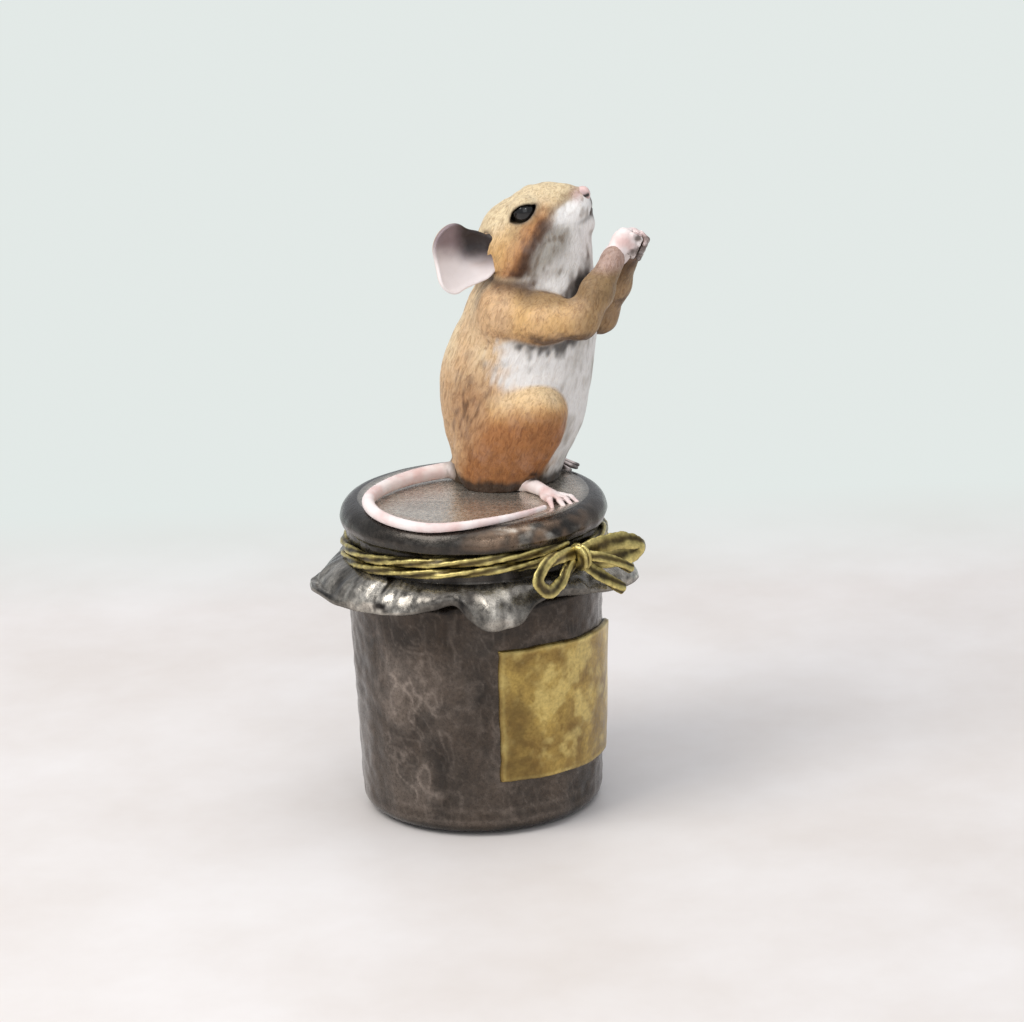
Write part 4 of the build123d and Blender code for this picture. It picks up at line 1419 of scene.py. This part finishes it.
def cover_piece():
    """The cloth: flat top, rolled edge, tied groove and gathered skirt in one closed skin."""
    flat = CROWN_R - CROWN_ROLL
    azimuth = np.linspace(-180, 180, 720, endpoint=False)
    hem_r, hem_z, curl = hem_at(azimuth)
    gather = noise(around(azimuth, GROOVE_R, 0.0), 2.3, 51)
    fine = noise(around(azimuth, GROOVE_R, 0.0), 1.1, 52)
    rows, wear_and_sheen_rows, dark_rows = [], [], []

    def row(radius, z, wear_and_sheen=0.0, dark=0.0):
        """One ring of points, from the middle of the top to the inside."""
        rows.append(around(azimuth, np.broadcast_to(radius, azimuth.shape), z + np.zeros_like(azimuth)))
        wear_and_sheen_rows.append(np.broadcast_to(wear_and_sheen, azimuth.shape))
        dark_rows.append(np.broadcast_to(dark, azimuth.shape))

    for share in np.linspace(0.003, 0.985, 60):
        spots = around(azimuth, flat * share, COVER_TOP)
        brushed = noise(spots * [1, 0.12, 1], 0.9, 56) + 0.6 * noise(spots * [1, 0.2, 1], 0.4, 57)
        sunk = 0.3 * smooth_step(0.95, 0.8, share)
        row(flat * share, COVER_TOP - sunk, 0.85 + 0.15 * brushed, 0.5 * smooth_step(0.9, 0.985, share))
    for turn in np.linspace(0.0, 1.0, 34):
        angle = turn * ROLL_TURN
        reach = CROWN_ROLL + 0.15 * gather * smooth_step(0.4, 1.0, turn)
        inward = 0.25 * smooth_step(0.75, 1.0, turn)
        edge_z = COVER_TOP - CROWN_ROLL + CROWN_ROLL * math.cos(angle) - ROLL_SUNK
        row(flat + reach * np.sin(angle) - inward, edge_z, 0.03)
    for share in np.linspace(0.0, 1.0, 10):
        pull = 0.35 * (gather + fine) * 0.5
        radius = ROLL_FOOT_R - (ROLL_FOOT_R - GROOVE_R) * smooth_step(0, 0.6, share) + pull * (1 - share)
        height = ROLL_FOOT_Z - share * (ROLL_FOOT_Z - SKIRT_START)
        row(radius, height, 0.05 + 0.1 * fine * share, 0.75 - 0.5 * share)
    lit = sum(share * hump(azimuth, middle, half) for middle, half, share in SKIRT_LIT) + 0.12
    lip = hump(azimuth, -149, 7)
    crease = hump(azimuth, -86, 2.0) + 0.7 * hump(azimuth, -57, 2.5)

    def drape(share):
        """Radius and height of the hanging cloth at this share of its drop."""
        turn_up = curl * smooth_step(0.72, 1.0, share)
        flare = 1 - (1 - share) ** SKIRT_FLARE
        creased = noise(around(azimuth, GROOVE_R, 3.0 * share), 1.9, 61) * smooth_step(0.1, 0.5, share)
        pleat = (0.45 * gather + 0.28 * fine) * (1 - 0.75 * share) * smooth_step(0.0, 0.25, share)
        radius = GROOVE_R + (hem_r - GROOVE_R) * flare + pleat + 0.4 * creased + 0.7 * turn_up
        return radius, SKIRT_START - (SKIRT_START - hem_z) * share + turn_up

    for share in np.linspace(0.02, 1.0, 44):
        streak = noise(around(azimuth, GROOVE_R, 2.5 * share), 0.5, 58)
        streak = streak + 0.8 * noise(around(azimuth, GROOVE_R, 5.0 * share), 1.4, 59)
        # Painted highlights, streaked and gathered like rubbed metal, where the skirt faces the lights.
        shine = 0.06 + lit * (0.42 + 0.2 * share + 0.45 * streak + 0.2 * gather)
        # Painted shade inside the curled lip and in two creases.
        fold_pocket_shade = lip * smooth_step(0.78, 0.9, share) + crease * smooth_step(0.3, 0.6, share)
        row(*drape(share), shine, np.maximum(0.25 * (1 - smooth_step(0.0, 0.3, share)), 0.9 * fold_pocket_shade))
    hem_radius, hem_height = drape(1.0)
    # The hem's rim: a painted highlight where the skirt is lit and along the curled lip.
    row(hem_radius + 0.15, hem_height - 0.45, 0.4 * lit + 0.4 * lip)
    for share in np.linspace(1.0, 0.0, 16):
        radius, height = drape(share)
        row(radius - CLOTH_IN, height - 0.9 * share + 0.1, 0.0, 0.6)
    inside_r = NECK_R + NECK_GAP
    inside_z = JAR_TOP_Z + TOP_GAP
    for radius, height in ((inside_r, CLOTH_FOOT_Z), (inside_r, inside_z), (0.06, inside_z)):
        row(radius, height, 0.0, 0.8)
    points = np.array(rows)
    flat_points = points.reshape(-1, 3)
    dents = 0.05 * noise(flat_points, 2.2, 53) + 0.07 * noise(flat_points, 5.0, 54)
    out = flat_points * [1, 1, 0]
    out = out / np.maximum(np.linalg.norm(out, axis=1, keepdims=True), 1.0)
    lift = smooth_step(flat - 3, flat + 1, np.linalg.norm(flat_points[:, :2], axis=1))
    flat_points = flat_points + out * (dents * lift)[:, None]
    wear_and_sheen = np.array(wear_and_sheen_rows).ravel()
    scuffs_and_highlights = smooth_step(0.0, 0.5, rough(flat_points * [1, 0.6, 1.6], 2.2, 55))
    scuffs_and_highlights = scuffs_and_highlights * (0.6 + 0.7 * noise(flat_points * [1, 0.5, 1], 0.8, 60))
    level = flat_points[:, 2]
    on_roll = smooth_step(46.4, 47.8, level) * smooth_step(COVER_TOP - 0.02, COVER_TOP - 0.4, level)
    compass = np.degrees(np.arctan2(flat_points[:, 0], -flat_points[:, 1]))
    # Scuffs on the roll, made brightest on its right as a painted highlight, and a warm brown painted sheen
    # there.
    warm = on_roll * hump(compass, -52, 26) * smooth_step(-0.4, 0.4, rough(flat_points, 3.0, 62))
    wear_and_sheen = wear_and_sheen + on_roll * scuffs_and_highlights * (0.55 * hump(compass, -58, 17) + 0.08)
    dark = np.array(dark_rows).ravel()
    faces = sheet_grid(points, True, True)
    piece = make_piece("cover_look", flat_points, faces, wear_and_sheen_colours(wear_and_sheen, dark, warm))
    dress(piece, cover_look, "cover_bronze", "cloth_cover")


def label_piece():
    """The bare label: a thin curved plate with uneven edges and a lifted corner."""
    columns, rows = 150, 90
    across = np.linspace(-1, 1, columns)
    up = np.linspace(-1, 1, rows)[:, None]
    edge_spots = np.stack([across * 9, np.zeros(columns), np.zeros(columns)], axis=1)
    side_spots = np.stack([np.zeros(rows), up[:, 0] * 9, np.zeros(rows)], axis=1)
    top_wave = 0.35 * rough(edge_spots, 4.0, 61)
    low_wave = 0.35 * rough(edge_spots, 4.0, 62)
    left_wave = 1.1 * rough(side_spots, 4.0, 63)
    right_wave = 1.1 * rough(side_spots, 4.0, 64)
    middle = (LABEL_LOW_Z + LABEL_HIGH_Z) / 2
    half = (LABEL_HIGH_Z - LABEL_LOW_Z) / 2
    z = middle + up * half + np.where(up > 0, up * top_wave, -up * low_wave)
    z = z - (LABEL_SAG + 0.3 * LABEL_SAG * up) * np.square((across + 1) / 2)
    azimuth = LABEL_AZIMUTH + across * LABEL_SPAN / 2
    azimuth = azimuth + np.where(across > 0, across * right_wave[:, None], -across * left_wave[:, None])
    edge = np.minimum(1 - np.abs(across), 1 - np.abs(up) + np.zeros(columns))
    swell = np.sqrt(1 - np.square(1 - np.clip(edge / 0.03, 0, 1)))
    spots = around(azimuth, SHOULDER_R, z)
    waves = 0.16 * rough(spots.reshape(-1, 3), 5.0, 65).reshape(z.shape)
    bead = 0.05 * np.exp(-np.square((edge - 0.05) / 0.03))
    lifted = 0.2 * smooth_step(0.7, 1.0, across) * smooth_step(0.6, 1.0, up)
    wall = jar_wall_r(z)
    front = around(azimuth, wall + LABEL_LIFT + LABEL_THICK * swell + waves * swell + bead + lifted, z)
    back = around(azimuth, wall - LABEL_SUNK + lifted, z)
    points = np.concatenate([front, back[:, ::-1]], axis=1)
    faces = sheet_grid(points, False, True)
    index = np.arange(rows * columns * 2).reshape(rows, columns * 2)
    lids = []
    for ring, flip in ((index[0], False), (index[-1], True)):
        near, far = ring[:columns], ring[columns:][::-1]
        quad = np.stack([near[:-1], far[:-1], far[1:], near[1:]], axis=1)
        lids.append(quad[:, ::-1] if flip else quad)
    faces = np.concatenate([faces, *lids])
    blotch = rough(spots.reshape(-1, 3), 4.5, 66).reshape(z.shape)
    mottle = rough(spots.reshape(-1, 3), 1.5, 67).reshape(z.shape)
    aged = 0.5 * smooth_step(-0.35, -1.0, across) + 0.4 * smooth_step(0.0, 0.5, blotch + 0.6 * mottle)
    aged = aged + 0.5 * hump(edge, 0.0, 0.02)
    wear_and_sheen = 0.45 * smooth_step(0.0, 0.6, 0.7 * mottle - blotch) + 0.25 * hump(edge, 0.05, 0.02)
    wear_and_sheen = np.concatenate([wear_and_sheen, np.zeros_like(wear_and_sheen)], axis=1)
    aged = np.concatenate([aged * 0.6, np.ones_like(aged)], axis=1)
    piece = make_piece("label_look", points.reshape(-1, 3), faces, wear_and_sheen_colours(wear_and_sheen, aged))
    dress(piece, gilt_look, "gilt_bronze", "label_plate")


def rope(name, node, line, radius, flatten=1.0, lay=9.0, seed=0, up=(0, 0, 1)):
    """A gilt cord of three strands along a line of points, drawn in at both ends."""
    lobes, sides = 3, 24
    line = np.asarray(line, float)
    steps = np.linalg.norm(np.diff(line, axis=0), axis=1)
    length = np.concatenate([[0], np.cumsum(steps)])
    ahead = np.gradient(line, axis=0)
    ahead /= np.linalg.norm(ahead, axis=1, keepdims=True)
    across = np.cross(ahead, np.asarray(up, float))
    across /= np.maximum(np.linalg.norm(across, axis=1, keepdims=True), 1e-6)
    over = np.cross(across, ahead)
    angle = np.linspace(0, 2 * math.pi, sides, endpoint=False)[None, :]
    twist = 2 * math.pi * length[:, None] / lay
    lobe = np.cos(lobes * angle - twist)
    end = np.minimum(length, length[-1] - length)[:, None]
    cap = np.sqrt(1 - np.square(1 - np.clip(end / (0.8 * radius), 0.02, 1)))
    thick = radius * (0.84 + 0.16 * lobe) * cap
    points = line[:, None] + thick[..., None] * (
        across[:, None] * np.cos(angle)[..., None] * flatten + over[:, None] * np.sin(angle)[..., None]
    )
    grain = rough(points.reshape(-1, 3), 1.1, 71 + seed).reshape(lobe.shape)
    points = points + 0.2 * radius * grain[..., None] * (points - line[:, None]) / radius
    wear_and_sheen = 0.30 + 0.40 * lobe + 0.5 * grain
    dark = 0.5 * smooth_step(0.0, 0.9, -lobe - 0.5 * grain)
    faces = sheet_grid(points, False, True)[:, ::-1]
    piece = make_piece(name, points.reshape(-1, 3), faces, wear_and_sheen_colours(wear_and_sheen, dark))
    dress(piece, cord_look, "gilt_bronze", node)


def string_piece():
    """The string: two turns around the groove, higher at the bow."""
    turn = np.linspace(0, 2, 1100)
    azimuth = BOW_AZIMUTH + 360 * turn
    slack = noise(around(azimuth, GROOVE_R, 4 * turn), 6.0, 81)
    tug = noise(around(azimuth, GROOVE_R, 4 * turn), 4.0, 82)
    tilt = STRING_TILT * np.cos(np.radians(azimuth - BOW_AZIMUTH))
    height = GROOVE_Z + STRING_PITCH * (turn - 1) + 0.22 * slack + tilt
    line = around(azimuth, GROOVE_R + STRING_D / 2 + 0.08 * tug, height)
    rope("string_look", "string_wrap", line, STRING_LOOK_R)


jar_piece()
cover_piece()
label_piece()
string_piece()

# Bow: points to the right, up and out from the knot's middle
BOW_RIGHT = around(BOW_AZIMUTH + 90.0, 1.0, 0.0)
BOW_UP = np.array([0, 0, 1.0])
BOW_OUT = around(BOW_AZIMUTH, 1.0, 0.0)
KNOT_OUT = 1.5
KNOT_POINTS = 120
LOOP_RIGHT = (
    (0.6, 0.5, 0.4),
    (4.2, 0.9, 1.4),
    (8.2, 0.5, 2.6),
    (10.7, -0.7, 3.4),
    (8.6, -1.7, 3.0),
    (4.6, -1.3, 1.6),
    (0.6, -0.5, 0.4),
)
LOOP_LEFT = (
    (-0.6, 0.5, 0.4),
    (-3.4, 1.1, 0.9),
    (-6.8, 0.9, 1.2),
    (-9.6, -1.3, 1.4),
    (-7.6, -3.7, 1.4),
    (-4.2, -3.2, 1.0),
    (-2.4, -1.6, 0.7),
    (-0.6, -0.5, 0.4),
)
END_LONG = ((0.2, -0.6, 0.8), (2.2, -3.0, 2.4), (4.4, -4.8, 3.4), (6.3, -6.2, 4.4))
END_SHORT = ((0.5, 0.3, 1.0), (2.4, -0.2, 3.0), (4.6, -1.4, 4.8), (6.5, -2.8, 6.0))

# Strands: look, node, places, count of points, radius, flatness and the length of one twist
STRANDS = (
    ("bow_right_look", "bow_loop_right", LOOP_RIGHT, 160, 0.6, 2.8, 14.0),
    ("bow_left_look", "bow_loop_left", LOOP_LEFT, 160, 0.75, 1.5, 10.0),
    ("bow_long_look", "bow_end_long", END_LONG, 80, 0.55, 1.9, 12.0),
    ("bow_short_look", "bow_end_short", END_SHORT, 80, 0.55, 1.6, 12.0),
)


def on_bow(places, count):
    """Points on a smooth strand of the bow."""
    places = smooth_curve(places, count)
    knot = around(BOW_AZIMUTH, GROOVE_R + STRING_D / 2 + KNOT_OUT, GROOVE_Z + STRING_TILT)
    return knot + places[:, :1] * BOW_RIGHT + places[:, 1:2] * BOW_UP + places[:, 2:] * BOW_OUT


for seed, (look, node, places, count, radius, flatten, lay) in enumerate(STRANDS, 1):
    rope(look, node, on_bow(places, count), radius, flatten, lay, seed, BOW_OUT)
knot_turns = np.linspace(-2.2, 9.0, KNOT_POINTS)
knot_lean = np.linspace(0.5, -0.5, KNOT_POINTS)
knot_line = np.stack([knot_lean, 1.25 * np.sin(knot_turns), 0.9 + 1.1 * np.cos(knot_turns)], axis=1)
rope("bow_knot_look", "bow_knot", on_bow(knot_line, 200), 0.8, 1.3, 6.0, len(STRANDS) + 1, BOW_RIGHT)


# Stage: pale floor, soft light, and the camera of the photo
CAMERA_AZIMUTH = math.radians(-80.0)
CAMERA_BACK = 600.0
CAMERA_HEIGHT = 228.1
CAMERA_PITCH = math.radians(16.80)
CAMERA_YAW = math.radians(0.57)
CAMERA_ROLL = math.radians(1.95)
FOCAL_PIXELS = 4023.0
IMAGE_WIDE = 1024.0
SENSOR = 36.0
FLOOR_HALF = 1500.0
FLOOR_FADE = (100.0, 165.0)
LIGHT_AIM_Z = 50.0
WORLD_COLOUR = (0.92, 0.95, 1.0, 1.0)
WORLD_STRENGTH = 0.55


def add_camera():
    """The camera that was fitted to the photo."""
    right = Vector((math.cos(CAMERA_AZIMUTH), math.sin(CAMERA_AZIMUTH), 0))
    level = Vector((-math.sin(CAMERA_AZIMUTH), math.cos(CAMERA_AZIMUTH), 0))
    ahead = level * math.cos(CAMERA_YAW) + right * math.sin(CAMERA_YAW)
    ahead = ahead * math.cos(CAMERA_PITCH) - Vector((0, 0, 1)) * math.sin(CAMERA_PITCH)
    across = ahead.cross(Vector((0, 0, 1))).normalized()
    upward = across.cross(ahead)
    turned = across * math.cos(CAMERA_ROLL) - upward * math.sin(CAMERA_ROLL)
    upward = across * math.sin(CAMERA_ROLL) + upward * math.cos(CAMERA_ROLL)
    eye = -level * CAMERA_BACK + Vector((0, 0, CAMERA_HEIGHT))
    lens = bpy.data.cameras.new("camera")
    lens.sensor_width = SENSOR
    lens.lens = FOCAL_PIXELS * SENSOR / IMAGE_WIDE
    lens.clip_start = 0.01
    camera = bpy.data.objects.new("camera", lens)
    matrix = Matrix((turned, upward, -ahead)).transposed().to_4x4()
    matrix.translation = eye * MM
    camera.matrix_world = matrix
    bpy.context.collection.objects.link(camera)
    bpy.context.scene.camera = camera


def add_light(name, azimuth, elevation, distance, size, power, colour=(1, 1, 1)):
    """A soft square light that faces the figure."""
    lamp = bpy.data.lights.new(name, "AREA")
    lamp.shape = "SQUARE"
    lamp.size = size * MM
    lamp.energy = power
    lamp.color = colour
    flat = distance * math.cos(math.radians(elevation))
    spot = around(azimuth, flat, distance * math.sin(math.radians(elevation)))
    target = Vector((0, 0, LIGHT_AIM_Z * MM))
    light = bpy.data.objects.new(name, lamp)
    light.location = Vector(spot) * MM + target
    light.rotation_euler = (target - light.location).to_track_quat("-Z", "Y").to_euler()
    bpy.context.collection.objects.link(light)


def add_stage():
    """A flat floor, pinkish around the figure and a lit blue-grey far behind it."""
    right = np.array([math.cos(CAMERA_AZIMUTH), math.sin(CAMERA_AZIMUTH), 0])
    away = np.array([-math.sin(CAMERA_AZIMUTH), math.cos(CAMERA_AZIMUTH), 0])
    ends = (-FLOOR_HALF, FLOOR_HALF)
    points = np.array([[right * side + away * deep for side in ends] for deep in ends])
    floor = make_piece("floor", points.reshape(-1, 3), sheet_grid(points, False, False)[:, ::-1])
    shader = Shader("floor")
    speck = shader.noise(shader.place(), 0.02, 5.0, 0.6)
    near = shader.mix(shader.ramp(speck, 0.35, 0.65), rgb(FLOOR_DARK), rgb(FLOOR_LIGHT))
    shader.coat(base=near, rough=0.42, specular=0.35)
    inputs = {0: shader.place(), 1: tuple(away)}
    distance = shader.node("ShaderNodeVectorMath", inputs, operation="DOT_PRODUCT")
    share = shader.ramp(distance.outputs["Value"], *FLOOR_FADE)
    ray = shader.node("ShaderNodeLightPath", {})
    seen = shader.combine(ray.outputs["Is Camera Ray"], ray.outputs["Is Glossy Ray"], "MAXIMUM")
    seen = shader.combine(seen, ray.outputs["Is Transmission Ray"], "MAXIMUM")
    glow = shader.node("ShaderNodeEmission", {"Color": rgb(FLOOR_FAR), "Strength": 1.0})
    lit = shader.combine(share, seen, "MULTIPLY")
    inputs = {0: lit, 1: shader.surface.outputs[0], 2: glow.outputs[0]}
    both = shader.node("ShaderNodeMixShader", inputs)
    shader.plug(shader.tree.nodes["Material Output"].inputs["Surface"], both.outputs[0])
    floor.data.materials.append(shader.material)


add_camera()
add_stage()
# Lights: azimuth, elevation, distance, size, power and colour
add_light("key", -138, 50, 700, 380, 2.6, (1.0, 0.98, 0.95))
add_light("front", -75, 25, 800, 500, 0.7, (0.96, 0.98, 1.0))
add_light("top", 0, 85, 700, 600, 1.3)
add_light("sparkle", -66, 38, 650, 60, 0.14)
world = bpy.data.worlds.new("studio")
world.use_nodes = True
background = world.node_tree.nodes["Background"]
background.inputs["Color"].default_value = WORLD_COLOUR
background.inputs["Strength"].default_value = WORLD_STRENGTH
bpy.context.scene.world = world
bpy.context.scene.view_settings.view_transform = "Standard"
